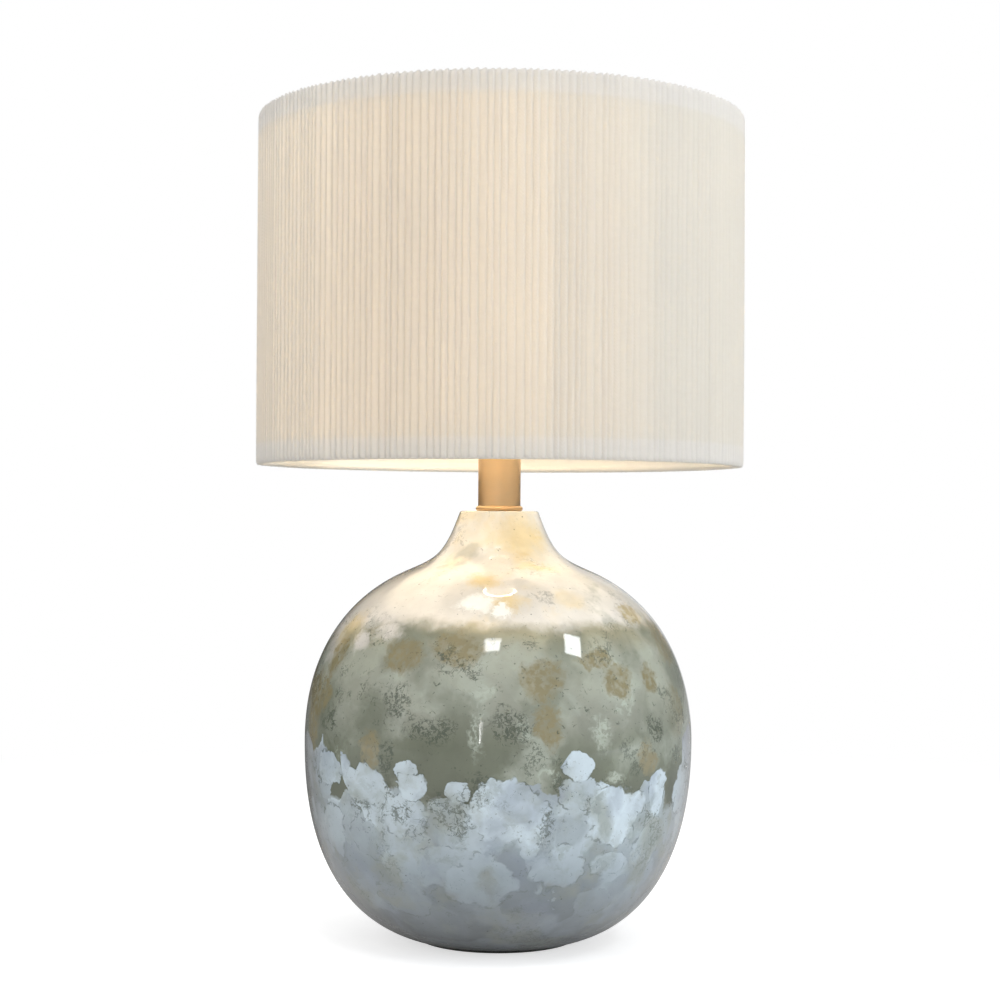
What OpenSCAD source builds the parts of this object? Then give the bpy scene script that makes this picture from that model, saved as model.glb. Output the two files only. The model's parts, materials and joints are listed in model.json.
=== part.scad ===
// Table lamp: gourd-shaped glazed ceramic body, brass neck tube, harp, rotary
// socket and a knife-pleated drum shade hung from a three-arm spider.
// Millimetres, +Z up, origin on the table at the centre of the foot. The harp
// stands in the XZ plane and the cord outlet faces +Y, the back.

/* [Ceramic body] */
// Widest diameter of the body
belly_d = 254; // [200:1:320]
// Height of the widest point above the table
belly_z = 130; // [110:1:150]
// Diameter where the shoulder turns into the neck
neck_root_d = 124; // [90:1:150]
// Height of that turn above the table
neck_root_z = 240; // [225:1:250]
// Lean of the shoulder at that turn, from the vertical, in degrees
neck_root_lean = 66; // [55:0.5:72]
// Diameter at the top of the neck
neck_d = 52.4; // [46:0.2:60]
// Lean of the neck just under its lip, in degrees
neck_lean = 20; // [8:1:28]
// Height of the flat top of the neck above the table
neck_z = 280; // [272:1:300]
// Radius of the rounded lip round the top of the neck
lip_r = 2; // [1:0.1:3]
// Diameter of the foot that stands on the pad
foot_d = 111; // [100:1:125]
// Lean of the wall where it meets the foot, in degrees
foot_lean = 76; // [60:1:80]
// Thickness of the ceramic wall
wall_t = 5; // [3.5:0.1:7]
// Diameter of the recess under the foot
recess_d = 76; // [68:1:84]
// Depth of the recess under the foot
recess_h = 14; // [13:0.5:20]
// Diameter of the hole in the top of the neck
neck_hole_d = 20; // [15:0.5:24]
// Diameter of the hole in the bottom for the lamp pipe
floor_hole_d = 12; // [10.5:0.5:16]
// Height of the cord outlet above the table
outlet_z = 34; // [26:1:60]
// Diameter of the hole drilled for the outlet bush
outlet_hole_d = 11; // [9.5:0.5:14]

/* [Foot and lamp pipe] */
// Thickness of the felt pad
felt_t = 2; // [1:0.1:3]
// Diameter of the felt pad
felt_d = 104; // [92:1:110]
// Outer diameter of the threaded lamp pipe
pipe_d = 9.5; // [8:0.1:10]
// Bore of the lamp pipe
pipe_bore_d = 6.6; // [4:0.1:7]
// Length of pipe left below the bottom nut
pipe_tail = 1.4; // [0.5:0.1:3]
// Diameter of the rubber gasket
gasket_d = 40; // [30:1:60]
// Thickness of the rubber gasket
gasket_t = 2; // [1:0.1:3]
// Diameter of the steel washer
washer_d = 38; // [30:1:60]
// Thickness of the steel washer
washer_t = 1.6; // [1:0.1:2.5]
// Width across the flats of the hexagon nuts
nut_af = 14.3; // [13:0.1:16]
// Thickness of the bottom nut
base_nut_t = 4.5; // [3:0.1:5.5]
// Thickness of the nut that holds the harp saddle
saddle_nut_t = 3; // [2:0.1:5]
// Bore of the cord outlet bush
outlet_bore_d = 7.2; // [5:0.1:8]
// Diameter of the flanges of the cord outlet bush
outlet_flange_d = 16; // [15:0.5:20]
// Thickness of those flanges
outlet_flange_t = 1.6; // [1:0.1:2.5]

/* [Neck hardware] */
// Diameter of the brass ring that seats the tube on the ceramic
ring_d = 31; // [29.5:0.1:38]
// Thickness of that ring
ring_t = 3.4; // [2.4:0.1:5]
// Outer diameter of the brass neck tube
tube_d = 28; // [26:0.1:29]
// Wall of the neck tube
tube_wall = 1; // [0.5:0.1:1.5]
// Length of the neck tube
tube_l = 51; // [45:1:58]
// Thickness of the cap on top of the tube
tube_cap_t = 2; // [1:0.1:4]
// Depth of the spigots that centre the ring and the cap
spigot_h = 3; // [1.5:0.5:5]

/* [Harp] */
// Height of the seat of the shade above the saddle
harp_h = 178; // [170:1:200]
// Diameter of the harp wire
harp_wire_d = 4; // [3:0.1:4.6]
// Distance between the centres of the two legs
leg_gap = 56; // [52:0.5:64]
// Greatest width over the bow
bow_w = 97; // [90:1:104]
// Radius of the sweep that spreads each leg
spread_r = 30; // [28:1:40]
// Height of the saddle arms
arm_h = 15; // [12:0.5:17]
// Width of the saddle strip
saddle_w = 12; // [8:0.5:14]
// Thickness of the saddle strip
saddle_t = 1.5; // [1:0.1:2.5]
// Inside radius of the bends of the saddle
saddle_bend_r = 5; // [3:0.5:7]
// Length of the half lap between saddle and leg
lap_l = 7; // [5:0.5:8]
// Length of the sliding ferrules
ferrule_l = 15; // [13:0.5:17]
// Wall of the ferrules
ferrule_wall = 1; // [0.6:0.1:2]
// Height of the rolled beads at the ends of a ferrule
ferrule_bead_h = 2; // [1:0.1:3]
// How far those beads stand out
ferrule_bead_t = 0.7; // [0.3:0.1:1.2]
// Travel of a ferrule when the harp is released
ferrule_travel = 9; // [8:0.5:10]
// Diameter of the eye at the top of the harp
eye_d = 13; // [11:0.5:14]
// How far the eye stands proud of the wire, above and below
eye_lip = 0.4; // [0.3:0.1:1]

/* [Stud and finial] */
// Diameter of the threaded stud
stud_d = 6.35; // [5:0.05:7]
// Length of the stud above its plate
stud_l = 12; // [10:0.5:14]
// Diameter of the shank that swivels in the eye
shank_d = 4; // [3:0.1:4.5]
// Diameter of the plate that the shade rests on
plate_d = 14; // [12:0.5:20]
// Thickness of that plate
plate_t = 1.6; // [1:0.1:3]
// Height of the riveted head under the eye
rivet_h = 1.4; // [0.8:0.1:2]
// How far that head stands out past the shank
rivet_lip = 1.6; // [0.8:0.1:2]
// Height of the finial
finial_h = 25; // [24:0.5:32]
// Diameter of the ball of the finial
finial_ball_d = 15; // [13:0.5:18]
// Diameter of the foot of the finial
finial_foot_d = 15; // [13:0.5:20]
// Height of the foot of the finial
finial_foot_h = 2.5; // [1.5:0.1:4]

/* [Socket] */
// Outer diameter of the socket shell
shell_d = 33; // [32.2:0.1:36]
// Wall of the brass shell and cap
shell_wall = 0.6; // [0.4:0.05:0.8]
// Height of the shell
shell_h = 42; // [41:0.5:46]
// Height of the beads rolled into the shell
shell_bead_h = 1.6; // [0.8:0.1:2.4]
// How far those beads stand out
shell_bead_t = 0.6; // [0.3:0.05:1]
// Height of the socket cap
cap_h = 18; // [16:0.5:20]
// Height of the cap's skirt round the shell
cap_skirt_h = 6; // [4:0.5:8]
// Height of the threaded boss of the cap
boss_h = 6; // [5:0.5:8]
// Wall of that boss
boss_wall = 2.4; // [1.5:0.1:4]
// Diameter of the set screw in the boss
set_screw_d = 2; // [1.5:0.1:2.5]
// Thickness of the insulating liner in the shell
insulator_t = 0.8; // [0.4:0.1:1]
// Height of the phenolic core
core_h = 21; // [18:0.5:23]
// Diameter of the heads of the terminal screws
terminal_d = 4.4; // [3:0.1:5.5]
// Diameter of the switch knob
knob_d = 14; // [11:0.5:18]
// Length of the switch knob
knob_l = 13; // [9:0.5:20]
// Number of flutes round the knob
knob_flutes = 14; // [8:1:18]
// Gap between the shell and the knob
knob_gap = 1.2; // [0.6:0.1:3]
// Diameter of the switch shaft
shaft_d = 3.2; // [2.5:0.1:4]
// Depth of the shaft in the core
shaft_depth = 8; // [5:0.5:10]

/* [Bulb] */
// Diameter over the thread of the screw cap
thread_d = 26; // [25.4:0.1:26.2]
// Pitch of that thread
thread_pitch = 3.6; // [3:0.1:4]
// Depth of that thread
thread_depth = 0.9; // [0.5:0.05:1.1]
// Length of the threaded skirt of the screw cap
skirt_h = 18; // [16:0.5:18.5]
// Diameter of the globe
globe_d = 60; // [50:0.5:63]
// Wall of the globe
globe_wall = 1.4; // [0.8:0.1:2]
// Overall length of the bulb
bulb_l = 107; // [104:0.5:109]
// Diameter of the light board
board_d = 30; // [20:0.5:34]
// Thickness of the light board
board_t = 8; // [4:0.5:10]

/* [Shade] */
// Outer diameter of the drum
shade_d = 320; // [280:1:400]
// Height of the drum
shade_h = 227; // [216:1:240]
// How far the spider's hub lies below the top of the drum
spider_drop = 22; // [16:0.5:26]
// Width of one pleat along the outside
pleat_pitch = 4.5; // [4:0.1:9]
// Depth of a pleat
pleat_depth = 1.3; // [0.5:0.1:2]
// Thickness of the fabric at the bottom of a pleat
fabric_t = 0.7; // [0.4:0.1:1.2]
// Thickness of the liner
liner_t = 0.6; // [0.4:0.1:1]
// Diameter of the wire of the two rings
ring_wire_d = 3; // [2:0.1:4]
// Thickness of the hem cloth
hem_t = 0.5; // [0.3:0.05:1]
// Width of the hem that is turned in over the liner
hem_w = 13; // [9:0.5:20]
// Number of arms of the spider
spider_arms = 3; // [3:1:4]
// Diameter of the spider's arms
arm_d = 3.2; // [2.4:0.1:4]
// Diameter of the spider's hub
hub_d = 25; // [23:0.5:32]
// Thickness of the spider's hub
hub_t = 2; // [1.5:0.1:3.5]

/* [Hidden] */
$fn = 96;

// Clearances
fit_gap = 0.05;      // parts that are screwed, crimped or glued together
thread_gap = 0.1;    // finial on its stud
swivel_gap = 0.06;   // shank in the eye, shaft in the core
face_gap = 0.1;      // faces that almost touch
wrap_gap = 0.15;     // cloth rolled round a wire
slide_gap = 0.3;     // parts that pass over each other by hand
through = 1;         // how far a cutter runs past the face that it cuts

function reversed(v) = [for (i = [len(v) - 1:-1:0]) v[i]];
function tail(v) = [for (i = [1:len(v) - 1]) v[i]];

module tube(r_out, r_in, h) {
  difference() {
    cylinder(r = r_out, h = h);
    translate([0, 0, -through]) cylinder(r = r_in, h = h + 2 * through);
  }
}

// Ceramic profile: three cubic curves, foot to belly to neck root to lip. Each
// handle is a share of the rise or the run of its own curve, so the outline
// keeps its character when a size changes.
curve_steps = 26;
foot_share = 0.352;
belly_low_share = 0.765;
belly_high_share = 0.435;
shoulder_share = 0.756;
root_share = 0.578;
neck_share = 0.803;

belly_r = belly_d / 2;
foot_r = foot_d / 2;
neck_r = neck_d / 2;
root_r = neck_root_d / 2;
recess_r = recess_d / 2;
lip_start_z = neck_z - lip_r * (1 - sin(neck_lean));
foot_point = [foot_r, felt_t];
belly_point = [belly_r, belly_z];
root_point = [root_r, neck_root_z];
lip_point = [neck_r, lip_start_z];

function cubic(a, b, c, d, t) =
  pow(1 - t, 3) * a + 3 * pow(1 - t, 2) * t * b + 3 * (1 - t) * t * t * c + pow(t, 3) * d;
function slope(a, b, c, d, t) =
  3 * pow(1 - t, 2) * (b - a) + 6 * (1 - t) * t * (c - b) + 3 * t * t * (d - c);
function leaning_in(a) = [-sin(a), cos(a)];
// Points of one curve, moved inwards along its normal by inset
function curve(a, b, c, d, inset) = [
  for (i = [0:curve_steps])
    let (t = i / curve_steps, s = slope(a, b, c, d, t))
      cubic(a, b, c, d, t) + inset * [-s[1], s[0]] / norm(s)
];
function lower_wall(inset) = curve(
  foot_point, foot_point + foot_share * (belly_r - foot_r) * [sin(foot_lean), cos(foot_lean)],
  belly_point - [0, belly_low_share * (belly_z - felt_t)], belly_point, inset
);
function shoulder(inset) = curve(
  belly_point, belly_point + [0, belly_high_share * (neck_root_z - belly_z)],
  root_point - shoulder_share * (belly_r - root_r) * leaning_in(neck_root_lean), root_point, inset
);
function neck(inset) = curve(
  root_point, root_point + root_share * (lip_start_z - neck_root_z) * leaning_in(neck_root_lean),
  lip_point - neck_share * (lip_start_z - neck_root_z) * leaning_in(neck_lean), lip_point, inset
);
function wall(inset) = concat(lower_wall(inset), tail(shoulder(inset)), tail(neck(inset)));

lip_steps = 8;
lip_centre = [neck_r - lip_r * cos(neck_lean), neck_z - lip_r];
lip = [
  for (i = [1:lip_steps])
    let (a = neck_lean + (90 - neck_lean) * i / lip_steps) lip_centre + lip_r * [cos(a), sin(a)]
];

// Heights up the lamp
recess_top_z = felt_t + recess_h;
floor_z = recess_top_z + wall_t;
roof_z = neck_z - wall_t;
base_nut_z = recess_top_z - gasket_t - washer_t - base_nut_t;
tube_z = neck_z + ring_t;
tube_cap_z = tube_z + tube_l;
saddle_z = tube_cap_z + tube_cap_t;
saddle_nut_z = saddle_z + saddle_t;
cap_z = saddle_nut_z + saddle_nut_t;
shell_z = cap_z + cap_h - cap_skirt_h + shell_wall;
core_z = shell_z + 1.5;
core_top_z = core_z + core_h;
socket_top_z = shell_z + shell_h;
seat_z = saddle_z + harp_h;
shade_top_z = seat_z + spider_drop;
shade_bottom_z = shade_top_z - shade_h;

// Body, foot and lamp pipe
pipe_r = pipe_d / 2;
pipe_pass_r = pipe_r + slide_gap;

// Cord outlet, square to the wall at the back
outlet_heights = [for (p = wall(0)) [p[1], p[0]]];
outlet_r = lookup(outlet_z, outlet_heights);
outlet_run = lookup(outlet_z + 1, outlet_heights) - lookup(outlet_z - 1, outlet_heights);
outlet_dip = atan2(outlet_run, 2);   // how far the wall's normal points below the horizontal
seat_depth = 0.5;                    // flat spot faced into the curved wall for the bush

module at_outlet() {
  translate([0, outlet_r, outlet_z]) rotate([-90 - outlet_dip, 0, 0]) children();
}

// Cast shell with a foot ring, a recess under it, a bored neck and a drilled back
module ceramic_body() {
  foot_inside_z = felt_t + 1.2 * wall_t;
  foot_inside_r = recess_r + wall_t;
  inside = [for (p = wall(wall_t)) if (p[1] > foot_inside_z && p[0] > foot_inside_r || p[1] > belly_z) p];
  cavity = [for (p = inside) if (p[1] < roof_z) p];
  color("#b9c0b4")
  difference() {
    rotate_extrude() polygon(concat([[0, felt_t]], wall(0), lip, [[0, neck_z]]));
    rotate_extrude() polygon(concat(
      [[0, floor_z], [recess_r, floor_z], [foot_inside_r, foot_inside_z]], cavity,
      [[cavity[len(cavity) - 1][0], roof_z], [0, roof_z]]
    ));
    translate([0, 0, felt_t - through]) cylinder(r = recess_r, h = recess_h + through);
    cylinder(d = floor_hole_d, h = floor_z + through);
    translate([0, 0, roof_z - through]) cylinder(d = neck_hole_d, h = wall_t + 2 * through);
    at_outlet() translate([0, 0, -2 * wall_t]) cylinder(d = outlet_hole_d, h = 4 * wall_t);
    at_outlet() translate([0, 0, -seat_depth]) cylinder(d = outlet_flange_d + 1, h = wall_t);
  }
}

module felt_pad() {
  color("#4b5245") cylinder(d = felt_d, h = felt_t);
}

// Rubber bush pushed into the wall, with a flange on each side of it
module cord_outlet_bush() {
  inner_z = -wall_t - seat_depth;
  length = wall_t + 2 * outlet_flange_t;
  flange_r = outlet_flange_d / 2;
  color("#2e2e2e")
  at_outlet()
  difference() {
    union() {
      translate([0, 0, inner_z]) cylinder(r = outlet_hole_d / 2 - fit_gap, h = wall_t);
      translate([0, 0, -seat_depth]) cylinder(r = flange_r, h = outlet_flange_t);
      translate([0, 0, inner_z - outlet_flange_t])
        cylinder(r1 = flange_r - outlet_flange_t, r2 = flange_r, h = outlet_flange_t);
    }
    translate([0, 0, inner_z - outlet_flange_t - through])
      cylinder(d = outlet_bore_d, h = length + 2 * through);
  }
}

module base_gasket() {
  color("#303030")
  translate([0, 0, recess_top_z - gasket_t]) tube(gasket_d / 2, pipe_pass_r, gasket_t);
}

module base_washer() {
  color("#b8bcc0")
  translate([0, 0, recess_top_z - gasket_t - washer_t]) tube(washer_d / 2, pipe_pass_r, washer_t);
}

// Hexagon nut with its corners chamfered at the upper face
module hex_nut(h) {
  chamfer_slope = 1.25;
  difference() {
    intersection() {
      cylinder(d = nut_af / cos(30), h = h, $fn = 6);
      cylinder(r1 = nut_af / 2 + chamfer_slope * h, r2 = nut_af / 2, h = h);
    }
    translate([0, 0, -through]) cylinder(r = pipe_r + fit_gap, h = h + 2 * through);
  }
}

module base_nut() {
  color("#c9b27a") translate([0, 0, base_nut_z + base_nut_t]) mirror([0, 0, 1]) hex_nut(base_nut_t);
}

module saddle_nut() {
  color("#c9b27a") translate([0, 0, saddle_nut_z]) hex_nut(saddle_nut_t);
}

module lamp_pipe() {
  pipe_z = base_nut_z - pipe_tail;
  color("#c8a864")
  translate([0, 0, pipe_z]) tube(pipe_r, pipe_bore_d / 2, cap_z + boss_h - pipe_z);
}

// Neck hardware
tube_bore_r = tube_d / 2 - tube_wall;
spigot_r = tube_bore_r - fit_gap;

// Seating ring with a round bead as its edge and a spigot on each face
module neck_ring() {
  bead_r = ring_t / 2;
  color("#c08a4e")
  difference() {
    union() {
      translate([0, 0, neck_z]) cylinder(r = ring_d / 2 - bead_r, h = ring_t);
      translate([0, 0, neck_z + bead_r])
        rotate_extrude() translate([ring_d / 2 - bead_r, 0]) circle(r = bead_r, $fn = 32);
      translate([0, 0, neck_z - spigot_h])
        cylinder(r = neck_hole_d / 2 - slide_gap, h = spigot_h + bead_r);
      translate([0, 0, neck_z + bead_r]) cylinder(r = spigot_r, h = bead_r + spigot_h);
    }
    translate([0, 0, neck_z - spigot_h - through])
      cylinder(r = pipe_pass_r, h = ring_t + 2 * spigot_h + 2 * through);
  }
}

module neck_tube() {
  color("#c89a5e") translate([0, 0, tube_z]) tube(tube_d / 2, tube_bore_r, tube_l);
}

// Turned cap with a chamfered edge and a spigot down the tube
module tube_cap() {
  color("#c08a4e")
  difference() {
    union() {
      translate([0, 0, tube_cap_z]) cylinder(r1 = tube_d / 2, r2 = (tube_d - tube_cap_t) / 2, h = tube_cap_t);
      translate([0, 0, tube_cap_z - spigot_h]) cylinder(r = spigot_r, h = spigot_h + tube_cap_t / 2);
    }
    translate([0, 0, tube_cap_z - spigot_h - through])
      cylinder(r = pipe_pass_r, h = tube_cap_t + spigot_h + 2 * through);
  }
}

// Harp
wire_r = harp_wire_d / 2;
leg_x = leg_gap / 2;
bow_x = bow_w / 2 - wire_r;
arm_top_z = saddle_z + arm_h;
ferrule_z = arm_top_z + face_gap;
lap_z = ferrule_z + (ferrule_l - lap_l) / 2;
lap_top_z = lap_z + lap_l;
straight_top_z = ferrule_z + ferrule_l + ferrule_travel + 1;
spread_a = acos(1 - (bow_x - leg_x) / (2 * spread_r));
side_z = straight_top_z + 2 * spread_r * sin(spread_a);
eye_t = harp_wire_d + 2 * eye_lip;
eye_z = seat_z - plate_t - eye_t;
crown_z = eye_z + eye_t / 2;
crown_r = bow_x - eye_d / 3;
crown_start_z = crown_z - crown_r;
shank_r = shank_d / 2;

// Half of a round wire, for a lap joint: the half with y above or below the gap
module half_wire(h, side) {
  intersection() {
    cylinder(r = wire_r, h = h);
    translate([-2 * wire_r, side > 0 ? face_gap / 2 : -2 * wire_r - face_gap / 2, 0])
      cube([4 * wire_r, 2 * wire_r, h]);
  }
}

// Edge of the bend between the plate and one arm
saddle_bend_steps = 8;
saddle_bend_x = leg_x + saddle_t / 2 - saddle_t - saddle_bend_r;
function saddle_edge(r) = [
  for (i = [0:saddle_bend_steps])
    let (a = -90 + 90 * i / saddle_bend_steps)
      [saddle_bend_x + r * cos(a), saddle_t + saddle_bend_r + r * sin(a)]
];

// Bent strip whose upright arms end in pegs, each cut to a half lap
module harp_saddle() {
  half = concat(
    [[0, 0]], saddle_edge(saddle_bend_r + saddle_t), [[leg_x + saddle_t / 2, arm_h]],
    [[leg_x - saddle_t / 2, arm_h]], reversed(saddle_edge(saddle_bend_r)), [[0, saddle_t]]
  );
  strip = concat(half, [for (p = reversed(tail(half))) [-p[0], p[1]]]);
  peg_root = 3;
  color("#b89454")
  difference() {
    union() {
      translate([0, saddle_w / 2, saddle_z]) rotate([90, 0, 0])
        linear_extrude(height = saddle_w) polygon(strip);
      translate([0, 0, saddle_z]) cylinder(r = nut_af / 2 + 2, h = saddle_t);
      for (x = [-leg_x, leg_x]) {
        translate([x, 0, arm_top_z - peg_root]) cylinder(r = wire_r, h = lap_z - arm_top_z + peg_root);
        translate([x, 0, lap_z - face_gap]) half_wire(lap_l + face_gap, 1);
      }
    }
    translate([0, 0, saddle_z - through]) cylinder(r = pipe_pass_r, h = saddle_t + 2 * through);
  }
}

// The bow is one wire. Each stretch is drawn thinner by draw than the one that
// it meets and reaches into it by reach, so that no two skins coincide.
draw = 0.02;
reach = 0.5;
module bend(r, a, wire) {
  rotate_extrude(angle = a) translate([r, 0]) circle(r = wire, $fn = 40);
}

module bow_side() {
  reach_a = reach / spread_r * 180 / PI;
  translate([leg_x, 0, lap_z + face_gap]) half_wire(lap_l, -1);
  translate([leg_x, 0, lap_top_z + face_gap / 2])
    cylinder(r = wire_r, h = straight_top_z - lap_top_z - face_gap / 2, $fn = 40);
  translate([leg_x + spread_r, 0, straight_top_z]) rotate([90, 0, 0])
    rotate(180 - spread_a - reach_a) bend(spread_r, spread_a + 2 * reach_a, wire_r - draw);
  translate([bow_x - spread_r, 0, side_z]) rotate([90, 0, 0])
    rotate(-spread_a) bend(spread_r, spread_a, wire_r);
  translate([bow_x, 0, side_z - reach])
    cylinder(r = wire_r - draw, h = crown_start_z - side_z + 2 * reach, $fn = 40);
  translate([bow_x - crown_r, 0, crown_start_z]) rotate([90, 0, 0]) bend(crown_r, 90, wire_r);
}

// Wire bow: half-lapped legs, an S sweep out to the sides, a round crown and its eye
module harp_bow() {
  color("#b89454")
  difference() {
    union() {
      bow_side();
      mirror([1, 0, 0]) bow_side();
      translate([0, 0, eye_z]) cylinder(d = eye_d, h = eye_t);
    }
    translate([0, 0, eye_z - through])
      cylinder(r = shank_r + swivel_gap, h = eye_t + 2 * through, $fn = 64);
  }
}

// Sleeve with a rolled bead at each end, free to slide up the leg
module ferrule() {
  sleeve_r = wire_r + slide_gap + ferrule_wall;
  color("#c8a35a")
  difference() {
    union() {
      cylinder(r = sleeve_r, h = ferrule_l);
      cylinder(r = sleeve_r + ferrule_bead_t, h = ferrule_bead_h);
      translate([0, 0, ferrule_l - ferrule_bead_h])
        cylinder(r = sleeve_r + ferrule_bead_t, h = ferrule_bead_h);
    }
    translate([0, 0, -through]) cylinder(r = wire_r + slide_gap, h = ferrule_l + 2 * through);
  }
}

module harp_ferrule_left() {
  translate([-leg_x, 0, ferrule_z]) ferrule();
}

module harp_ferrule_right() {
  translate([leg_x, 0, ferrule_z]) ferrule();
}

// Riveted stud: a plate on the eye, a shank through it and the thread above it
module harp_stud() {
  rivet_z = eye_z - face_gap - rivet_h;
  color("#c8a35a")
  union() {
    translate([0, 0, seat_z - plate_t]) cylinder(d = plate_d, h = plate_t);
    translate([0, 0, seat_z - plate_t / 2]) cylinder(d = stud_d, h = stud_l + plate_t / 2, $fn = 64);
    translate([0, 0, rivet_z + rivet_h / 2])
      cylinder(r = shank_r, h = seat_z - plate_t / 2 - rivet_z - rivet_h / 2, $fn = 64);
    translate([0, 0, rivet_z]) cylinder(r1 = shank_r, r2 = shank_r + rivet_lip, h = rivet_h, $fn = 64);
  }
}

// Socket
shell_r = shell_d / 2;
shell_bore_r = shell_r - shell_wall;
cap_r = shell_r + fit_gap + shell_wall;
boss_r = pipe_r + boss_wall;
insulator_bore_r = shell_bore_r - fit_gap - insulator_t;
core_r = insulator_bore_r - fit_gap;
shaft_r = shaft_d / 2;
shaft_z = core_z + core_h / 2 - 1;
shaft_pass_r = shaft_r + 1.2;
knob_y = shell_r + shell_bead_t + knob_gap;
knob_bore_h = 3;
set_screw_z = cap_z + 2.5;
contact_r = 4.5;
contact_t = 0.8;
screw_shell_t = 0.4;
mouth_drop = 3;                      // screw shell below the mouth of the socket

// Spun cap: threaded boss, dome and a skirt that grips the shell
module socket_cap() {
  dome_steps = 8;
  dome_z = boss_h - 2;
  dome_h = cap_h - cap_skirt_h - dome_z;
  function dome(r, z) = [
    for (i = [0:dome_steps])
      let (a = 90 * i / dome_steps) [r + (cap_r - boss_r) * sin(a), z + dome_h * (1 - cos(a))]
  ];
  color("#c8a35a")
  difference() {
    translate([0, 0, cap_z]) rotate_extrude() polygon(concat(
      [[0, 0], [boss_r, 0]], dome(boss_r, dome_z), [[cap_r, cap_h], [cap_r - shell_wall, cap_h]],
      reversed(dome(boss_r - shell_wall, dome_z + shell_wall)),
      [[boss_r - shell_wall, boss_h], [0, boss_h]]
    ));
    translate([0, 0, cap_z - through]) cylinder(r = pipe_r + fit_gap, h = boss_h + 2 * through);
    translate([pipe_r, 0, set_screw_z]) rotate([0, 90, 0])
      cylinder(r = set_screw_d / 2 + fit_gap, h = 2 * boss_wall, $fn = 24);
  }
}

// Slotted screw that locks the cap on the pipe
module cap_set_screw() {
  length = boss_wall + 1.5;
  slot_w = 0.4;
  slot_h = 0.6;
  color("#8f9296")
  translate([pipe_r + face_gap, 0, set_screw_z]) rotate([0, 90, 0])
  difference() {
    cylinder(d = set_screw_d, h = length, $fn = 24);
    translate([-slot_w / 2, -set_screw_d, length - slot_h]) cube([slot_w, 2 * set_screw_d, 2 * slot_h]);
  }
}

module shaft_hole(depth) {
  translate([0, -shell_bore_r - depth, shaft_z]) rotate([-90, 0, 0])
    cylinder(r = shaft_pass_r, h = 2 * depth, $fn = 32);
}

// Drawn shell with a rolled mouth, a bead above the cap and the hole for the shaft
module socket_shell() {
  bead_r = shell_r + shell_bead_t;
  color("#c8a35a")
  difference() {
    union() {
      translate([0, 0, shell_z]) cylinder(r = shell_r, h = shell_h);
      translate([0, 0, socket_top_z - shell_bead_h]) cylinder(r = bead_r, h = shell_bead_h);
      translate([0, 0, cap_z + cap_h + 2 * shell_bead_h]) cylinder(r = bead_r, h = shell_bead_h);
    }
    translate([0, 0, shell_z - through]) cylinder(r = shell_bore_r, h = shell_h + 2 * through);
    shaft_hole(4);
  }
}

module socket_insulator() {
  end_gap = 1;
  color("#d8cfae")
  difference() {
    translate([0, 0, shell_z + end_gap])
      tube(shell_bore_r - fit_gap, insulator_bore_r, shell_h - 2 * end_gap);
    shaft_hole(4);
  }
}

terminal_angles = [40, 140];
terminal_r = terminal_d / 2;
terminal_h = 1.6;
terminal_flat_x = core_r - terminal_h - 1;
terminal_flat_h = 11;

// Phenolic core: shaft bore, two terminal flats and the cavity over the pipe
module socket_core() {
  flat_w = 2 * terminal_d + 1;
  color("#3a2a20")
  difference() {
    translate([0, 0, core_z]) cylinder(r = core_r, h = core_h);
    translate([0, -core_r - through, shaft_z]) rotate([-90, 0, 0])
      cylinder(r = shaft_r + swivel_gap, h = shaft_depth + through + swivel_gap, $fn = 48);
    for (a = terminal_angles)
      rotate(a) translate([terminal_flat_x, -flat_w / 2, core_z - through])
        cube([core_r, flat_w, terminal_flat_h + through]);
    translate([0, 0, core_z - through]) cylinder(r = pipe_bore_d / 2, h = 5 + through);
  }
}

module terminal_screws() {
  slot_w = 0.6;
  slot_h = 0.5;
  color("#c8a35a")
  for (a = terminal_angles)
    rotate(a) translate([terminal_flat_x, 0, core_z + terminal_flat_h / 2]) rotate([0, 90, 0])
    difference() {
      cylinder(r = terminal_r, h = terminal_h, $fn = 32);
      translate([-slot_w / 2, -terminal_d, terminal_h - slot_h]) cube([slot_w, 2 * terminal_d, 2 * slot_h]);
    }
}

// Rounded thread seen in section: a wave of the given depth below r_max
thread_steps = 8;
function wave(r_max, z, h, depth) = [
  for (i = [0:ceil(h / thread_pitch * thread_steps)])
    let (s = min(h, i * thread_pitch / thread_steps))
      [r_max - depth / 2 * (1 - cos(360 * s / thread_pitch)), z + s]
];

// Rolled screw shell, wide enough for the cap of the bulb to pass
module screw_shell() {
  shell_depth = thread_depth / 2;
  r_max = thread_d / 2 + slide_gap + shell_depth;
  h = socket_top_z - mouth_drop - core_top_z;
  bore = wave(r_max, core_top_z + screw_shell_t, h - screw_shell_t, shell_depth);
  color("#d9d4c4")
  difference() {
    rotate_extrude() polygon(concat(
      [[0, core_top_z], [0, core_top_z + screw_shell_t]], bore,
      [for (p = reversed(bore)) p + [screw_shell_t, 0]], [[r_max + screw_shell_t, core_top_z]]
    ));
    translate([0, 0, core_top_z - through]) cylinder(r = contact_r + 1.5, h = 2 * through);
  }
}

module socket_contact() {
  color("#c8a35a") translate([0, 0, core_top_z]) cylinder(r = contact_r, h = contact_t);
}

module switch_shaft() {
  inner_y = core_r - shaft_depth;
  color("#b89454")
  translate([0, -inner_y, shaft_z]) rotate([90, 0, 0])
    cylinder(r = shaft_r, h = knob_y + knob_bore_h - inner_y, $fn = 48);
}

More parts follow.
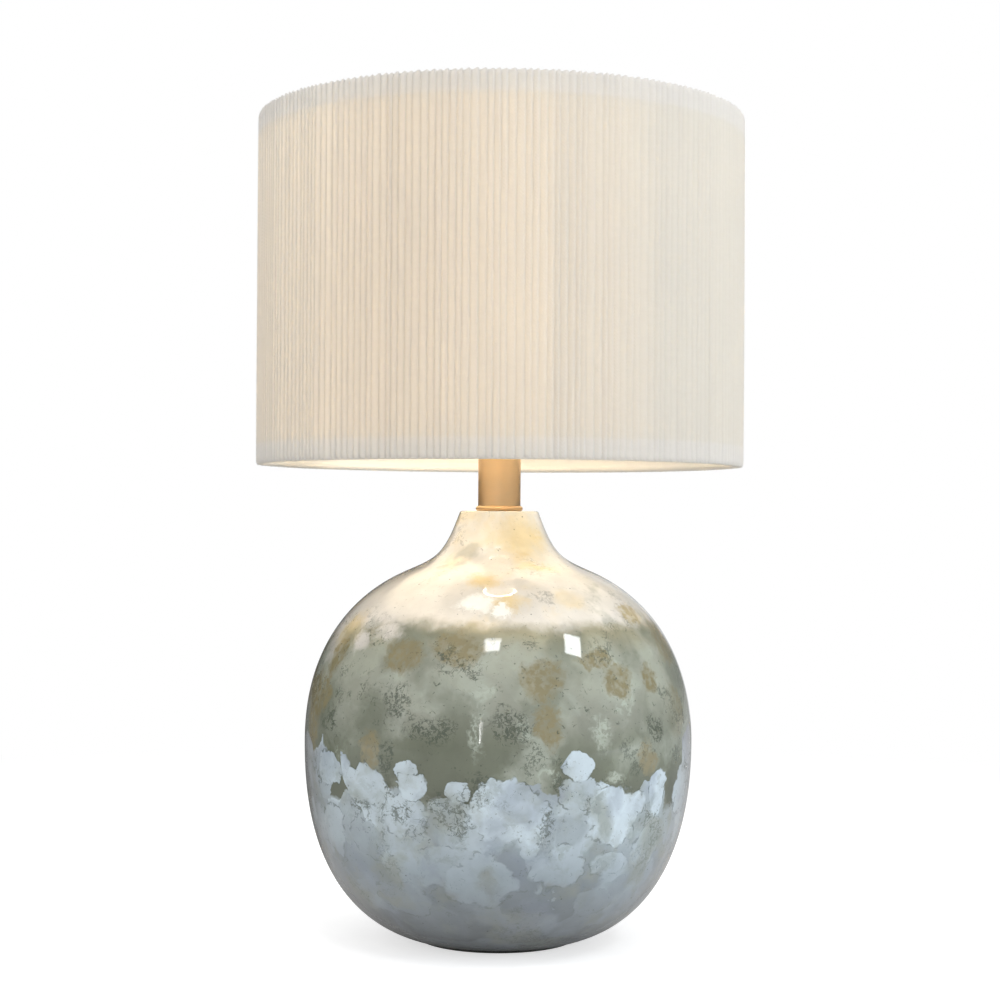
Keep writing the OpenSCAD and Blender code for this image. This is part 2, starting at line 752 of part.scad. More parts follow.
// Fluted knob with a blind bore for the shaft and a chamfered face
module switch_knob() {
  chamfer = 1.5;
  flute_r = PI * knob_d / knob_flutes / 4;
  flute_z = 2;
  color("#2b1d16")
  translate([0, -knob_y, shaft_z]) rotate([90, 0, 0])
  difference() {
    union() {
      cylinder(d = knob_d, h = knob_l - chamfer);
      translate([0, 0, knob_l - chamfer]) cylinder(d1 = knob_d, d2 = knob_d - 2 * chamfer, h = chamfer);
    }
    for (i = [0:knob_flutes - 1])
      rotate(360 * i / knob_flutes) translate([knob_d / 2, 0, flute_z])
        cylinder(r = flute_r, h = knob_l, $fn = 16);
    translate([0, 0, -through]) cylinder(r = shaft_r + fit_gap, h = knob_bore_h + through, $fn = 48);
  }
}

// Bulb
eyelet_r = 4.4;
eyelet_h = 1.6;
cone_h = 3.4;
cone_r = 6;
bulb_z = core_top_z + contact_t + face_gap;
skirt_z = bulb_z + eyelet_h + cone_h;
housing_z = skirt_z + skirt_h;
housing_r = thread_d / 2 + 1.2;
globe_r = globe_d / 2;
globe_z = bulb_z + bulb_l - globe_r;
globe_start_a = -22;                 // the globe starts a little below its widest line
seam_z = globe_z + globe_r * sin(globe_start_a);
seam_r = globe_r * cos(globe_start_a);
board_r = board_d / 2;
board_top_z = seam_z - 2;

// Screw cap: a rolled skirt on a short cone
module bulb_screw_cap() {
  color("#cfd0d2")
  rotate_extrude() polygon(concat(
    [[cone_r, skirt_z - cone_h + 0.4], [cone_r + 2, skirt_z - cone_h + 0.4]],
    wave(thread_d / 2, skirt_z, skirt_h, thread_depth), [[cone_r, housing_z]]
  ));
}

module bulb_cap_insulator() {
  color("#1d1d1f")
  translate([0, 0, bulb_z + eyelet_h])
    cylinder(r1 = eyelet_r, r2 = cone_r - fit_gap, h = housing_z - bulb_z - eyelet_h);
}

module bulb_eyelet() {
  color("#b9a98a") translate([0, 0, bulb_z]) cylinder(r1 = 0.6 * eyelet_r, r2 = eyelet_r, h = eyelet_h);
}

// Housing that flares smoothly from the cap to the globe
module bulb_housing() {
  flare_steps = 12;
  flare_z = housing_z + 2;
  flare = [
    for (i = [0:flare_steps])
      let (t = i / flare_steps, ease = t * t * (3 - 2 * t))
        [housing_r + (seam_r - housing_r) * ease, flare_z + (seam_z - flare_z) * t]
  ];
  color("#f0efea")
  difference() {
    rotate_extrude() polygon(concat([[0, housing_z], [housing_r, housing_z]], flare, [[0, seam_z]]));
    translate([0, 0, board_top_z - board_t]) cylinder(r = board_r + fit_gap, h = 2 * board_t);
  }
}

// Opal dome, cut off level at the seam
module bulb_globe() {
  globe_steps = 28;
  function dome(r, from_a) = [
    for (i = [0:globe_steps])
      let (a = from_a + (90 - from_a) * i / globe_steps) [r * cos(a), globe_z + r * sin(a)]
  ];
  inner_r = globe_r - globe_wall;
  inner_start_a = asin((seam_z - globe_z) / inner_r);
  color("#fff6df")
  rotate_extrude() polygon(concat(dome(globe_r, globe_start_a), reversed(dome(inner_r, inner_start_a))));
}

module bulb_light_board() {
  color("#f4f4ee") translate([0, 0, board_top_z - board_t]) cylinder(r = board_r, h = board_t);
}

// Shade
shade_r = shade_d / 2;
pleats = round(PI * shade_d / pleat_pitch);
valley_r = shade_r - pleat_depth;
fabric_bore_r = valley_r - fabric_t;
liner_r = fabric_bore_r - fit_gap;
liner_bore_r = liner_r - liner_t;
ring_wire_r = ring_wire_d / 2;
roll_bore_r = ring_wire_r + wrap_gap;
roll_r = roll_bore_r + hem_t;
ring_r = liner_bore_r - fit_gap - roll_r;
ring_top_z = shade_top_z - roll_r;
ring_bottom_z = shade_bottom_z + roll_r;
cloth_z = shade_bottom_z + hem_t;
cloth_h = shade_h - 2 * hem_t;
hub_r = hub_d / 2;
finial_foot_r = finial_foot_d / 2;

// Knife pleats: each one rises slowly from its valley, rounds its crest and
// falls back sharply. A row holds its place in the pleat and its share of depth.
pleat_shape = [[0, 0], [0.42, 0.85], [0.78, 1]];
pleat_outline = [
  for (i = [0:pleats - 1], p = pleat_shape)
    let (a = 360 * (i + p[0]) / pleats) (valley_r + pleat_depth * p[1]) * [cos(a), sin(a)]
];

module shade_fabric() {
  color("#efe9dd")
  translate([0, 0, cloth_z])
  difference() {
    linear_extrude(height = cloth_h) polygon(pleat_outline);
    translate([0, 0, -through]) cylinder(r = fabric_bore_r, h = cloth_h + 2 * through, $fn = 256);
  }
}

module shade_liner() {
  color("#f7f5ee") translate([0, 0, cloth_z]) tube(liner_r, liner_bore_r, cloth_h, $fn = 256);
}

module hoop(wire) {
  rotate_extrude($fn = 180) translate([ring_r, 0]) circle(r = wire, $fn = 32);
}

// The straight arms rise from the hub to the top ring, the first one at the back
first_arm_a = 90;
arm_root_r = hub_r - 2;
arm_root_z = seat_z + hub_t / 2;
arm_rise_a = atan2(ring_top_z - arm_root_z, ring_r - arm_root_r);
arm_l = norm([ring_top_z - arm_root_z, ring_r - arm_root_r]);

module arms(r) {
  for (i = [0:spider_arms - 1])
    rotate(first_arm_a + 360 * i / spider_arms)
    translate([arm_root_r, 0, arm_root_z]) rotate([0, 90 - arm_rise_a, 0])
      cylinder(r = r, h = arm_l, $fn = 32);
}

module shade_top_frame() {
  color("#eceae4")
  difference() {
    union() {
      translate([0, 0, ring_top_z]) hoop(ring_wire_r);
      arms(arm_d / 2);
      translate([0, 0, seat_z]) cylinder(r = hub_r, h = hub_t);
    }
    translate([0, 0, seat_z - through])
      cylinder(r = stud_d / 2 + slide_gap, h = hub_t + 2 * through, $fn = 64);
    translate([0, 0, seat_z - arm_d]) cylinder(r = hub_r, h = arm_d);
    translate([0, 0, seat_z + hub_t]) cylinder(r = finial_foot_r + slide_gap, h = arm_d);
  }
}

module shade_bottom_ring() {
  color("#eceae4") translate([0, 0, ring_bottom_z]) hoop(ring_wire_r);
}

// Hem cloth: a lip over the pleats, a roll round the hoop, a tail down the liner
module hem() {
  tail_r = liner_bore_r - fit_gap;
  difference() {
    hoop(roll_r);
    hoop(roll_bore_r);
  }
  translate([0, 0, roll_r - hem_t]) tube(shade_r - pleat_depth / 2, ring_r, hem_t, $fn = 256);
  translate([0, 0, -hem_w]) tube(tail_r, tail_r - hem_t, hem_w, $fn = 256);
}

module shade_top_hem() {
  color("#f3efe6")
  difference() {
    translate([0, 0, ring_top_z]) hem();
    arms(arm_d / 2 + slide_gap);
  }
}

module shade_bottom_hem() {
  color("#f3efe6") translate([0, 0, ring_bottom_z]) mirror([0, 0, 1]) hem();
}

// Turned finial: foot, cove, waist and ball, bored for the stud
module finial() {
  ball_r = finial_ball_d / 2;
  ball_z = finial_h - ball_r;
  waist_r = stud_d / 2 + 2.2;
  waist_z = finial_h - finial_ball_d;
  ball_start_a = -acos(waist_r / ball_r);
  cove_steps = 8;
  ball_steps = 20;
  cove = [
    for (i = [0:cove_steps])
      let (a = 90 * i / cove_steps)
        [finial_foot_r - (finial_foot_r - waist_r) * sin(a),
         finial_foot_h + (waist_z - finial_foot_h) * (1 - cos(a))]
  ];
  ball = [
    for (i = [0:ball_steps])
      let (a = ball_start_a + (90 - ball_start_a) * i / ball_steps)
        [ball_r * cos(a), ball_z + ball_r * sin(a)]
  ];
  color("#c8a35a")
  translate([0, 0, seat_z + hub_t])
  difference() {
    rotate_extrude() polygon(concat([[0, 0], [finial_foot_r, 0]], cove, ball));
    translate([0, 0, -through])
      cylinder(r = stud_d / 2 + thread_gap, h = stud_l - hub_t + 2 * through, $fn = 64);
  }
}

ceramic_body();
felt_pad();
cord_outlet_bush();
base_gasket();
base_washer();
base_nut();
lamp_pipe();
neck_ring();
neck_tube();
tube_cap();
harp_saddle();
saddle_nut();
socket_cap();
socket_shell();
socket_insulator();
socket_core();
screw_shell();
socket_contact();
terminal_screws();
cap_set_screw();
switch_shaft();
switch_knob();
bulb_screw_cap();
bulb_cap_insulator();
bulb_eyelet();
bulb_housing();
bulb_globe();
bulb_light_board();
harp_bow();
harp_ferrule_left();
harp_ferrule_right();
harp_stud();
shade_fabric();
shade_liner();
shade_top_frame();
shade_bottom_ring();
shade_top_hem();
shade_bottom_hem();
finial();
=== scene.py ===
"""Table lamp: a gourd-shaped body in reactive glaze, a brass neck and a pleated drum shade.

Each builder makes one piece, or finishes a group of machined parts, from the sizes and
colours in the property groups below. Lengths are in metres, +Z is up, and the front of
the lamp faces -Y.
"""

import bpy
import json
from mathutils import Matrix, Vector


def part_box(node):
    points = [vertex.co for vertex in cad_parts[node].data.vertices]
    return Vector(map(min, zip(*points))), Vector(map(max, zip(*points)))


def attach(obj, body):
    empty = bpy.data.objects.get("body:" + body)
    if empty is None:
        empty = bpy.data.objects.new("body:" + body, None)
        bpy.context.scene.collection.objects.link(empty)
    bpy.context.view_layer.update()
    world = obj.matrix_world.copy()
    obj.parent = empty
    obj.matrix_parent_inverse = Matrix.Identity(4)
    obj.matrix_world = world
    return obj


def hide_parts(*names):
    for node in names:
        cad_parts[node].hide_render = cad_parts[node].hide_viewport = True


bl_info = {
    "name": "Glazed Table Lamp",
    "version": (1, 0, 0),
    "blender": (4, 5, 0),
    "location": "3D View > Sidebar > Lamp",
    "description": "Builds a glazed table lamp with a pleated drum shade, piece by piece",
    "category": "Object",
}

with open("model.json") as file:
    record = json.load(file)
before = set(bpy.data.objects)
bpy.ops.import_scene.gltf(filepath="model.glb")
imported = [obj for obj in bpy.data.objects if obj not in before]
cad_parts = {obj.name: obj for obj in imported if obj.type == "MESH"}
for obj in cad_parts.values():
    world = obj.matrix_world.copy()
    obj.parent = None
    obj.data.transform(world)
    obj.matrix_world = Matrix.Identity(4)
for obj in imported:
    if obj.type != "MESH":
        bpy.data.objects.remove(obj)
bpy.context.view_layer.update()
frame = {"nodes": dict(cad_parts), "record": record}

import functools
import json
import math
from types import SimpleNamespace

import bpy
import numpy as np
from bpy.props import FloatProperty, FloatVectorProperty, IntProperty, PointerProperty
from mathutils import Matrix, Vector

MM = 0.001


def linear(colour):
    """Linear RGB of an sRGB hex colour."""
    parts = [int(colour[i:i + 2], 16) / 255 for i in (1, 3, 5)]
    return tuple(p / 12.92 if p <= 0.04045 else ((p + 0.055) / 1.055) ** 2.4 for p in parts)


def tint(title, description, colour):
    """A colour property whose default is an sRGB hex value."""
    return FloatVectorProperty(name=title, description=description, subtype="COLOR",
                               size=3, min=0.0, max=1.0, default=linear(colour))


def length(title, description, default):
    """A length property in metres."""
    return FloatProperty(name=title, description=description, default=default,
                         min=0.0, unit="LENGTH", precision=4)


def reach_of(part):
    """Greatest distance of a machined part from the lamp's axis, along X or Y."""
    low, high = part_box(part)
    return max(high.x, high.y, -low.x, -low.y)


# Properties

class LampSizes(bpy.types.PropertyGroup):
    """Sizes of the pieces that are shaped here."""

    belly_radius: length("Belly radius", "Widest radius of the body", reach_of("ceramic_body"))
    belly_height: length("Belly height", "Height of the widest point", 130 * MM)
    root_radius: length("Neck root radius", "Radius where the shoulder turns up", 62 * MM)
    root_height: length("Neck root height", "Height of that turn", 240 * MM)
    neck_radius: length("Neck radius", "Radius at the top of the neck", 26.2 * MM)
    neck_height: length("Neck height", "Height of the top of the neck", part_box("ceramic_body")[1].z)
    foot_radius: length("Foot radius", "Radius of the foot", 55.5 * MM)
    wall: length("Ceramic wall", "Thickness of the ceramic", 5 * MM)
    felt: length("Felt", "Thickness of the felt pad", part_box("felt_pad")[1].z)
    shade_radius: length("Shade radius", "Radius over the pleats", 160 * MM)
    shade_top: length("Shade top", "Height of the top edge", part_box("shade_top_hem")[1].z)
    shade_bottom: length("Shade bottom", "Height of the bottom edge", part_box("shade_bottom_hem")[0].z)
    liner_radius: length("Liner radius", "Outer radius of the liner", reach_of("shade_liner"))
    liner: length("Liner film", "Thickness of the liner film", 0.6 * MM)
    pleats: IntProperty(name="Pleats", description="Number of pleats round the shade",
                        default=223, min=40, max=400)
    pleat_depth: length("Pleat depth", "How far a pleat stands out", 1.2 * MM)
    cloth: length("Cloth", "Thickness of the shade cloth", 0.5 * MM)
    hem_width: length("Hem width", "Width of the turned-in hem", 13 * MM)
    finial_radius: length("Finial radius", "Radius of the ball of the finial", 7.5 * MM)


class LampColours(bpy.types.PropertyGroup):
    """Colours of the finishes."""

    ivory: tint("Ivory glaze", "Glaze over the neck and the shoulder", "#E6E2DA")
    # Honey also paints the lamplight's warm cast on the neck.
    honey: tint("Honey glaze", "Warm stains in the ivory", "#E3CB8E")
    # Umber also paints the shade on the left limb.
    umber: tint("Umber glaze", "Brown patches under the shoulder", "#8A8264")
    sage: tint("Sage glaze", "Middle band", "#9C9F91")
    # Moss also paints shade on the left flank.
    moss: tint("Moss glaze", "Lower edge of the middle band", "#6C7160")
    frost: tint("Frost glaze", "Pale dabs of the lower half", "#BDCAD1")
    # Slate also paints the shade towards the foot, along with the glaze's own darker tone.
    slate: tint("Slate glaze", "Shaded dabs near the foot", "#848F96")
    crack: tint("Crack", "Dark veins in the glaze", "#434C3E")
    biscuit: tint("Biscuit", "Bare fired clay", "#CFC3AE")
    brass: tint("Lacquered brass", "Neck tube, its ring and cap", "#EFC998")
    plated: tint("Plated brass", "Harp, socket and finial", "#D2B173")
    cloth: tint("Shade cloth", "Pleated cotton and linen", "#E1E1E2")
    hem: tint("Hem cloth", "Plain cotton tape", "#F0EFED")
    film: tint("Liner film", "White liner film", "#FBF9F2")
    wire: tint("Wire", "Powder coat on the shade frame", "#ECE9E1")
    glow: tint("Lamplight", "Colour of the lit bulb", "#FFE4BF")


class LampStage(bpy.types.PropertyGroup):
    """Camera and lights."""

    distance: length("Camera distance", "From the lamp's axis to the lens", 1.292)
    height: length("Camera height", "Height of the lens above the table", 0.273)
    lens: FloatProperty(name="Lens", description="Focal length", default=70.43, min=1.0,
                        unit="CAMERA")
    pitch: FloatProperty(name="Pitch", description="Upward tilt of the camera",
                         default=math.radians(0.636), subtype="ANGLE")
    yaw: FloatProperty(name="Yaw", description="Turn of the camera to the right",
                       default=math.radians(0.02), subtype="ANGLE")
    roll: FloatProperty(name="Roll", description="Roll of the picture, clockwise",
                        default=math.radians(0.36), subtype="ANGLE")
    bulb_power: FloatProperty(name="Bulb power", description="Power of the bulb's light",
                              default=6.5, min=0.0, unit="POWER")
    key_power: FloatProperty(name="Key power",
                             description="Power of each overhead box, which the other boxes follow",
                             default=4.0, min=0.0, unit="POWER")
    ambient: FloatProperty(name="Ambient", description="Strength of the even light all round",
                           default=0.8, min=0.0)


# Meshes

def make_piece(name, body, points, quads, materials, picks=None, maps=None, marks=None, sharp=40.0):
    """A mesh from corner places (n, 3) and quads (m, 4), which rides on a body.

    Corners that share a place are welded, and a quad that loses a corner becomes a
    triangle, so that seams and poles are closed. The faces are turned outwards: the
    signed volume, a sixth of the sum of a.(b x c) over its triangles, has to be positive.
    picks holds each quad's material, maps its four (u, v) pairs, and marks a value for
    each corner place, kept as the attribute "fold".
    """
    places, first, index = np.unique(np.round(points, 8), axis=0, return_index=True, return_inverse=True)
    quads = index.ravel()[quads]
    a, b, c, d = (places[quads[:, i]] for i in range(4))
    volume = np.einsum("ij,ij->", a, np.cross(b, c)) + np.einsum("ij,ij->", a, np.cross(c, d))
    if volume < 0:
        quads = quads[:, ::-1]
        maps = None if maps is None else maps[:, ::-1]
    real = quads != np.roll(quads, 1, axis=1)
    whole = real.sum(axis=1) > 2
    real &= whole[:, None]
    sizes = real.sum(axis=1)[whole]
    mesh = bpy.data.meshes.new(name)
    mesh.vertices.add(len(places))
    mesh.vertices.foreach_set("co", places.astype(np.float32).ravel())
    mesh.loops.add(int(sizes.sum()))
    mesh.loops.foreach_set("vertex_index", quads[real].astype(np.int32))
    mesh.polygons.add(len(sizes))
    mesh.polygons.foreach_set("loop_start", (np.cumsum(sizes) - sizes).astype(np.int32))
    mesh.polygons.foreach_set("use_smooth", np.ones(len(sizes), bool))
    for material in materials:
        mesh.materials.append(material)
    if picks is not None:
        mesh.polygons.foreach_set("material_index", np.asarray(picks)[whole].astype(np.int32))
    if maps is not None:
        layer = mesh.uv_layers.new(name="surface")
        layer.data.foreach_set("uv", maps[real].astype(np.float32).ravel())
    if marks is not None:
        fold = mesh.attributes.new("fold", "FLOAT", "POINT")
        fold.data.foreach_set("value", np.asarray(marks)[first].astype(np.float32))
    mesh.update(calc_edges=True)
    mesh.validate()
    mesh.set_sharp_from_angle(angle=math.radians(sharp))
    piece = bpy.data.objects.new(name, mesh)
    bpy.context.scene.collection.objects.link(piece)
    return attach(piece, body)


def grid_quads(rows, columns, close_rows=False):
    """Quads between neighbours of a grid whose columns close round, and its rows if asked."""
    r = np.arange(rows if close_rows else rows - 1)[:, None]
    c = np.arange(columns)[None, :]
    right, up = (c + 1) % columns, (r + 1) % rows
    corners = np.stack(np.broadcast_arrays(
        r * columns + c, r * columns + right, up * columns + right, up * columns + c), axis=-1)
    return corners.reshape(-1, 4)


def carried_round(profile, angles, ripple=0.0):
    """Places of a profile of (radius, height) carried round the Z axis.

    P(i, j) = ((r_i + w) sin a_j, -(r_i + w) cos a_j, z_i), with w the ripple at (i, j),
    so an angle of 0 is the front and angles grow towards +X.
    """
    shape = (len(profile), len(angles))
    radius = np.broadcast_to(profile[:, :1] + ripple, shape)
    height = np.broadcast_to(profile[:, 1:], shape)
    return np.stack([radius * np.sin(angles), -radius * np.cos(angles), height], axis=-1).reshape(-1, 3)


def turned(name, body, profile, material, columns=96, sharp=40.0):
    """A solid of revolution of a profile that starts and ends on the axis."""
    angles = np.linspace(0, 2 * np.pi, columns, endpoint=False)
    return make_piece(name, body, carried_round(profile, angles),
                      grid_quads(len(profile), columns), [material], sharp=sharp)


def arc(centre, radius, start, end, steps):
    """Points centre + radius (cos a, sin a), for a from start to end in degrees."""
    a = np.radians(np.linspace(start, end, steps))
    return np.array(centre) + radius * np.stack([np.cos(a), np.sin(a)], axis=-1)


def line(start, end, steps):
    """Evenly spaced points from start up to, and without, end."""
    t = np.linspace(0, 1, steps, endpoint=False)[:, None]
    return np.array(start) * (1 - t) + np.array(end) * t


def offset(path, distance):
    """The path moved by distance to the left of its own direction."""
    along = np.gradient(path, axis=0)
    along /= np.linalg.norm(along, axis=1, keepdims=True)
    return path + distance * np.stack([-along[:, 1], along[:, 0]], axis=-1)


# Materials

EASED = {"interpolation_type": "SMOOTHSTEP"}
BLENDED = {"data_type": "RGBA", "out": 2}        # a Mix node that mixes colours


def new_material(name):
    """An empty material, and the function that adds nodes to it."""
    material = bpy.data.materials.new(name)
    material.use_nodes = True
    material.node_tree.nodes.clear()
    return material, functools.partial(add, material.node_tree)


def add(tree, kind, *inputs, out=0, **settings):
    """Adds a shader node with its settings and links, and gives one of its outputs.

    The inputs come in their order, or as a dictionary. A socket is linked, anything else is
    set. The functions below call this node, with the tree already given.
    """
    made = tree.nodes.new("ShaderNode" + kind)
    for key, value in settings.items():
        setattr(made, key, value)
    named = inputs[0] if inputs and isinstance(inputs[0], dict) else dict(enumerate(inputs))
    for key, value in named.items():
        socket = made.inputs[key]
        if isinstance(value, bpy.types.NodeSocket):
            tree.links.new(value, socket)
        elif socket.type == "RGBA" and len(value) == 3:
            socket.default_value = (*value, 1.0)
        else:
            socket.default_value = value
    return made.outputs[out] if made.outputs else made


def assign(material, slot, *names):
    """Gives machined parts a finish."""
    for name in names:
        part = frame["nodes"][name]
        part.data.materials.clear()
        part.data.materials.append(material)


def uneven(node, place, scale, low, high, detail=3.0, band=(0.3, 0.7), stretch=None):
    """A value that eases from low to high as a noise of so many spots in a metre crosses a band."""
    if stretch:
        place = node("Mapping", {"Vector": place, "Scale": stretch})
    noise = node("TexNoise", {"Vector": place, "Scale": scale, "Detail": detail})
    return node("MapRange", noise, *band, low, high, **EASED)


def laid_over(node, colour, layers):
    """A colour with others laid over it in turn, each by its own share."""
    for share, over in layers:
        colour = node("Mix", {0: share, 6: colour, 7: over}, **BLENDED)
    return colour


def plain_finish(name, colour, rough, metallic=0.0, grain=400.0, relief=0.02, stretch=None, fade=0.06,
                 **sockets):
    """A material of one colour, with the grain, the uneven gloss and the light wear of its making.

    rough is the lowest and highest roughness, grain the spots of the noise in a metre, relief
    the height of the grain in millimetres and fade the share by which the colour varies. The
    gloss varies over three grains and the colour over six.
    """
    material, node = new_material(name)
    place = node("TexCoord", out="Object")
    shade = uneven(node, place, grain / 6, 1 - fade, 1.0)
    inputs = {
        "Base Color": node("VectorMath", {0: tuple(colour), "Scale": shade}, operation="SCALE"),
        "Metallic": metallic,
        "Roughness": uneven(node, place, grain / 3, *rough),
        "Normal": node("Bump", {"Height": uneven(node, place, grain, 0.0, 1.0, stretch=stretch),
                                "Distance": relief * MM, "Strength": 1.0})}
    inputs.update(sockets)
    node("OutputMaterial", {"Surface": node("BsdfPrincipled", inputs)})
    return material


# Ceramic body

BODY_STEPS = 60          # rows to each cubic curve of the outside
BODY_COLUMNS = 288
RECESS_RADIUS, RECESS_TOP = 38 * MM, 16 * MM
THROAT_RADIUS, PIPE_HOLE_RADIUS = 10 * MM, 6 * MM
LIP = 2 * MM             # radius of the rounded lip
OUTLET_REACH = 3 * MM    # from the middle of the cord's bore out to the wall
OUTLET_RADIUS, OUTLET_DEPTH = 5.5 * MM, 12 * MM
SPOT_RADIUS, SPOT_DEPTH = 8.5 * MM, 0.5 * MM
FOOT_LEAN, ROOT_LEAN, NECK_LEAN = (math.radians(a) for a in (76, 66, 20))
FOOT_SHARE, BELLY_LOW_SHARE, BELLY_HIGH_SHARE = 0.352, 0.765, 0.435
SHOULDER_SHARE, ROOT_SHARE, NECK_SHARE = 0.756, 0.578, 0.803


def wall_curve(sizes, inset, steps):
    """Radius and height of the wall, from foot to lip, moved inwards by inset.

    Three cubics C(t) = (1-t)^3 A + 3(1-t)^2 t B + 3(1-t) t^2 C + t^3 D run from the foot to
    the belly, to the neck root and to the lip. Their handles are shares of each curve's rise
    or run, along the wall's lean, and inset follows the normal (-C'_z, C'_r) / |C'|.
    """
    foot = np.array([sizes.foot_radius, sizes.felt])
    belly = np.array([sizes.belly_radius, sizes.belly_height])
    root = np.array([sizes.root_radius, sizes.root_height])
    lip = np.array([sizes.neck_radius, sizes.neck_height - LIP * (1 - math.sin(NECK_LEAN))])
    up = np.array([0.0, 1.0])
    along_root = np.array([-math.sin(ROOT_LEAN), math.cos(ROOT_LEAN)])
    along_neck = np.array([-math.sin(NECK_LEAN), math.cos(NECK_LEAN)])
    along_foot = np.array([math.sin(FOOT_LEAN), math.cos(FOOT_LEAN)])
    rise = lip[1] - root[1]
    curves = (
        (foot, foot + FOOT_SHARE * (belly[0] - foot[0]) * along_foot,
         belly - BELLY_LOW_SHARE * (belly[1] - foot[1]) * up, belly),
        (belly, belly + BELLY_HIGH_SHARE * (root[1] - belly[1]) * up,
         root - SHOULDER_SHARE * (belly[0] - root[0]) * along_root, root),
        (root, root + ROOT_SHARE * rise * along_root, lip - NECK_SHARE * rise * along_neck, lip),
    )
    t = np.linspace(0, 1, steps, endpoint=False)[:, None]
    rows = []
    for a, b, c, d in curves:
        place = (1 - t) ** 3 * a + 3 * (1 - t) ** 2 * t * b + 3 * (1 - t) * t * t * c + t ** 3 * d
        slope = (1 - t) ** 2 * (b - a) + 2 * (1 - t) * t * (c - b) + t * t * (d - c)
        slope /= np.linalg.norm(slope, axis=1, keepdims=True)
        rows.append(place + inset * np.stack([-slope[:, 1], slope[:, 0]], axis=-1))
    return np.concatenate(rows)


def body_profile(sizes):
    """Closed profile of the shell, and for each row whether it carries glaze.

    Outside wall, rounded lip, throat, the inside wall one wall thickness in, the floor, the
    pipe hole, the recess under the floor and the foot ring, in that order.
    """
    outside = wall_curve(sizes, 0.0, BODY_STEPS)
    lean = math.degrees(NECK_LEAN)
    centre = (sizes.neck_radius - LIP * math.cos(NECK_LEAN), sizes.neck_height - LIP)
    lip = arc(centre, LIP, lean, 90, 9)
    roof, floor = sizes.neck_height - sizes.wall, RECESS_TOP + sizes.wall
    inside = wall_curve(sizes, sizes.wall, 20)
    heel = (RECESS_RADIUS + sizes.wall, sizes.felt + 1.2 * sizes.wall)
    high = inside[:, 1] > sizes.belly_height
    clear = (inside[:, 1] > heel[1]) & (inside[:, 0] > heel[0])
    inside = inside[(high | clear) & (inside[:, 1] < roof)][::-1]
    rest = [
        line((centre[0], sizes.neck_height), (THROAT_RADIUS, sizes.neck_height), 4)[1:],
        line((THROAT_RADIUS, sizes.neck_height), (THROAT_RADIUS, roof), 2),
        line((THROAT_RADIUS, roof), (inside[0, 0], roof), 3),
        inside,
        line(heel, (RECESS_RADIUS, floor), 2),
        line((RECESS_RADIUS, floor), (PIPE_HOLE_RADIUS, floor), 3),
        line((PIPE_HOLE_RADIUS, floor), (PIPE_HOLE_RADIUS, RECESS_TOP), 2),
        line((PIPE_HOLE_RADIUS, RECESS_TOP), (RECESS_RADIUS, RECESS_TOP), 3),
        line((RECESS_RADIUS, RECESS_TOP), (RECESS_RADIUS, sizes.felt), 2),
        line((RECESS_RADIUS, sizes.felt), (sizes.foot_radius, sizes.felt), 3),
    ]
    profile = np.concatenate([outside, lip, *rest])
    glazed = np.arange(len(profile)) < len(outside) + len(lip) + len(rest[0]) + 1
    return profile, glazed


def slump(profile, angles, sizes):
    """Slow unevenness of a slip-cast wall, up to 0.25 mm, fading to nothing at both ends.

    w = h(z) (0.14 sin(3a + 21z) + 0.07 sin(5a - 55z) + 0.04 sin(9a + 90z)) mm, with
    h = sin(pi (z - foot) / (neck - foot)).
    """
    z = profile[:, 1:]
    share = np.clip((z - sizes.felt) / (sizes.neck_height - sizes.felt), 0, 1)
    wave = (0.14 * np.sin(3 * angles + 21 * z) + 0.07 * np.sin(5 * angles - 55 * z)
            + 0.04 * np.sin(9 * angles + 90 * z))
    return np.sin(np.pi * share) * wave * MM


def drill(piece, place, axis):
    """Cuts the stepped hole of the cord outlet: a bore and the flat spot for the bush's flange."""
    clear, columns = 6 * MM, 48
    profile = np.array([
        (0, -OUTLET_DEPTH), (OUTLET_RADIUS, -OUTLET_DEPTH), (OUTLET_RADIUS, -SPOT_DEPTH),
        (SPOT_RADIUS, -SPOT_DEPTH), (SPOT_RADIUS, clear), (0, clear)])
    angles = np.linspace(0, 2 * np.pi, columns, endpoint=False)
    to_wall = Vector(axis).to_track_quat("Z", "Y").to_matrix().to_4x4()
    points = carried_round(profile, angles) @ np.array(to_wall)[:3, :3].T + np.array(place)
    quads = grid_quads(len(profile), columns)
    cutter = make_piece("outlet_cutter", "base", points, quads, list(piece.data.materials),
                        picks=np.ones(len(quads)))
    cut = piece.modifiers.new("outlet", "BOOLEAN")
    cut.operation, cut.solver, cut.object = "DIFFERENCE", "MANIFOLD", cutter
    graph = bpy.context.evaluated_depsgraph_get()
    before, after = piece.data, bpy.data.meshes.new_from_object(piece.evaluated_get(graph))
    piece.modifiers.clear()
    piece.data = after
    after.name = piece.name
    bpy.data.meshes.remove(before)
    bpy.data.objects.remove(cutter)


# Bands of glaze from the foot up: height in millimetres, colour, and how strong it is.
# The slate rows darken the band towards the foot: painted shade of the downward-facing foot, partly the
# glaze's own darker colour.
FROST_BAND_WITH_FOOT_SHADE = ((0, "slate", 0.62), (14, "slate", 0.88), (30, "slate", 1.32), (60, "slate", 1.62),
              (85, "frost", 1.04), (112, "frost", 1.06))
MOSS_BAND = ((108, "moss", 0.76), (130, "moss", 1.12), (150, "sage", 0.84), (172, "sage", 1.12),
             (190, "sage", 1.15), (210, "umber", 1.4))
IVORY_BAND = ((195, "ivory", 0.84), (215, "ivory", 0.98), (280, "ivory", 1.0))
FROST_TOP, IVORY_FOOT = 122 * MM, 206 * MM
FRONT_DROP = 14 * MM     # how much lower the scattered dabs end on the front
ALL_FROST = 90           # height in millimetres below which frost covers the body without a gap
# Rounds scattered all round: pitch, radius and softness as shares of it, shift of the pattern
DABS = ((44 * MM, 0.64, 0.20, 0.11), (36 * MM, 0.60, 0.10, 0.37), (25 * MM, 0.52, 0.26, 0.71))
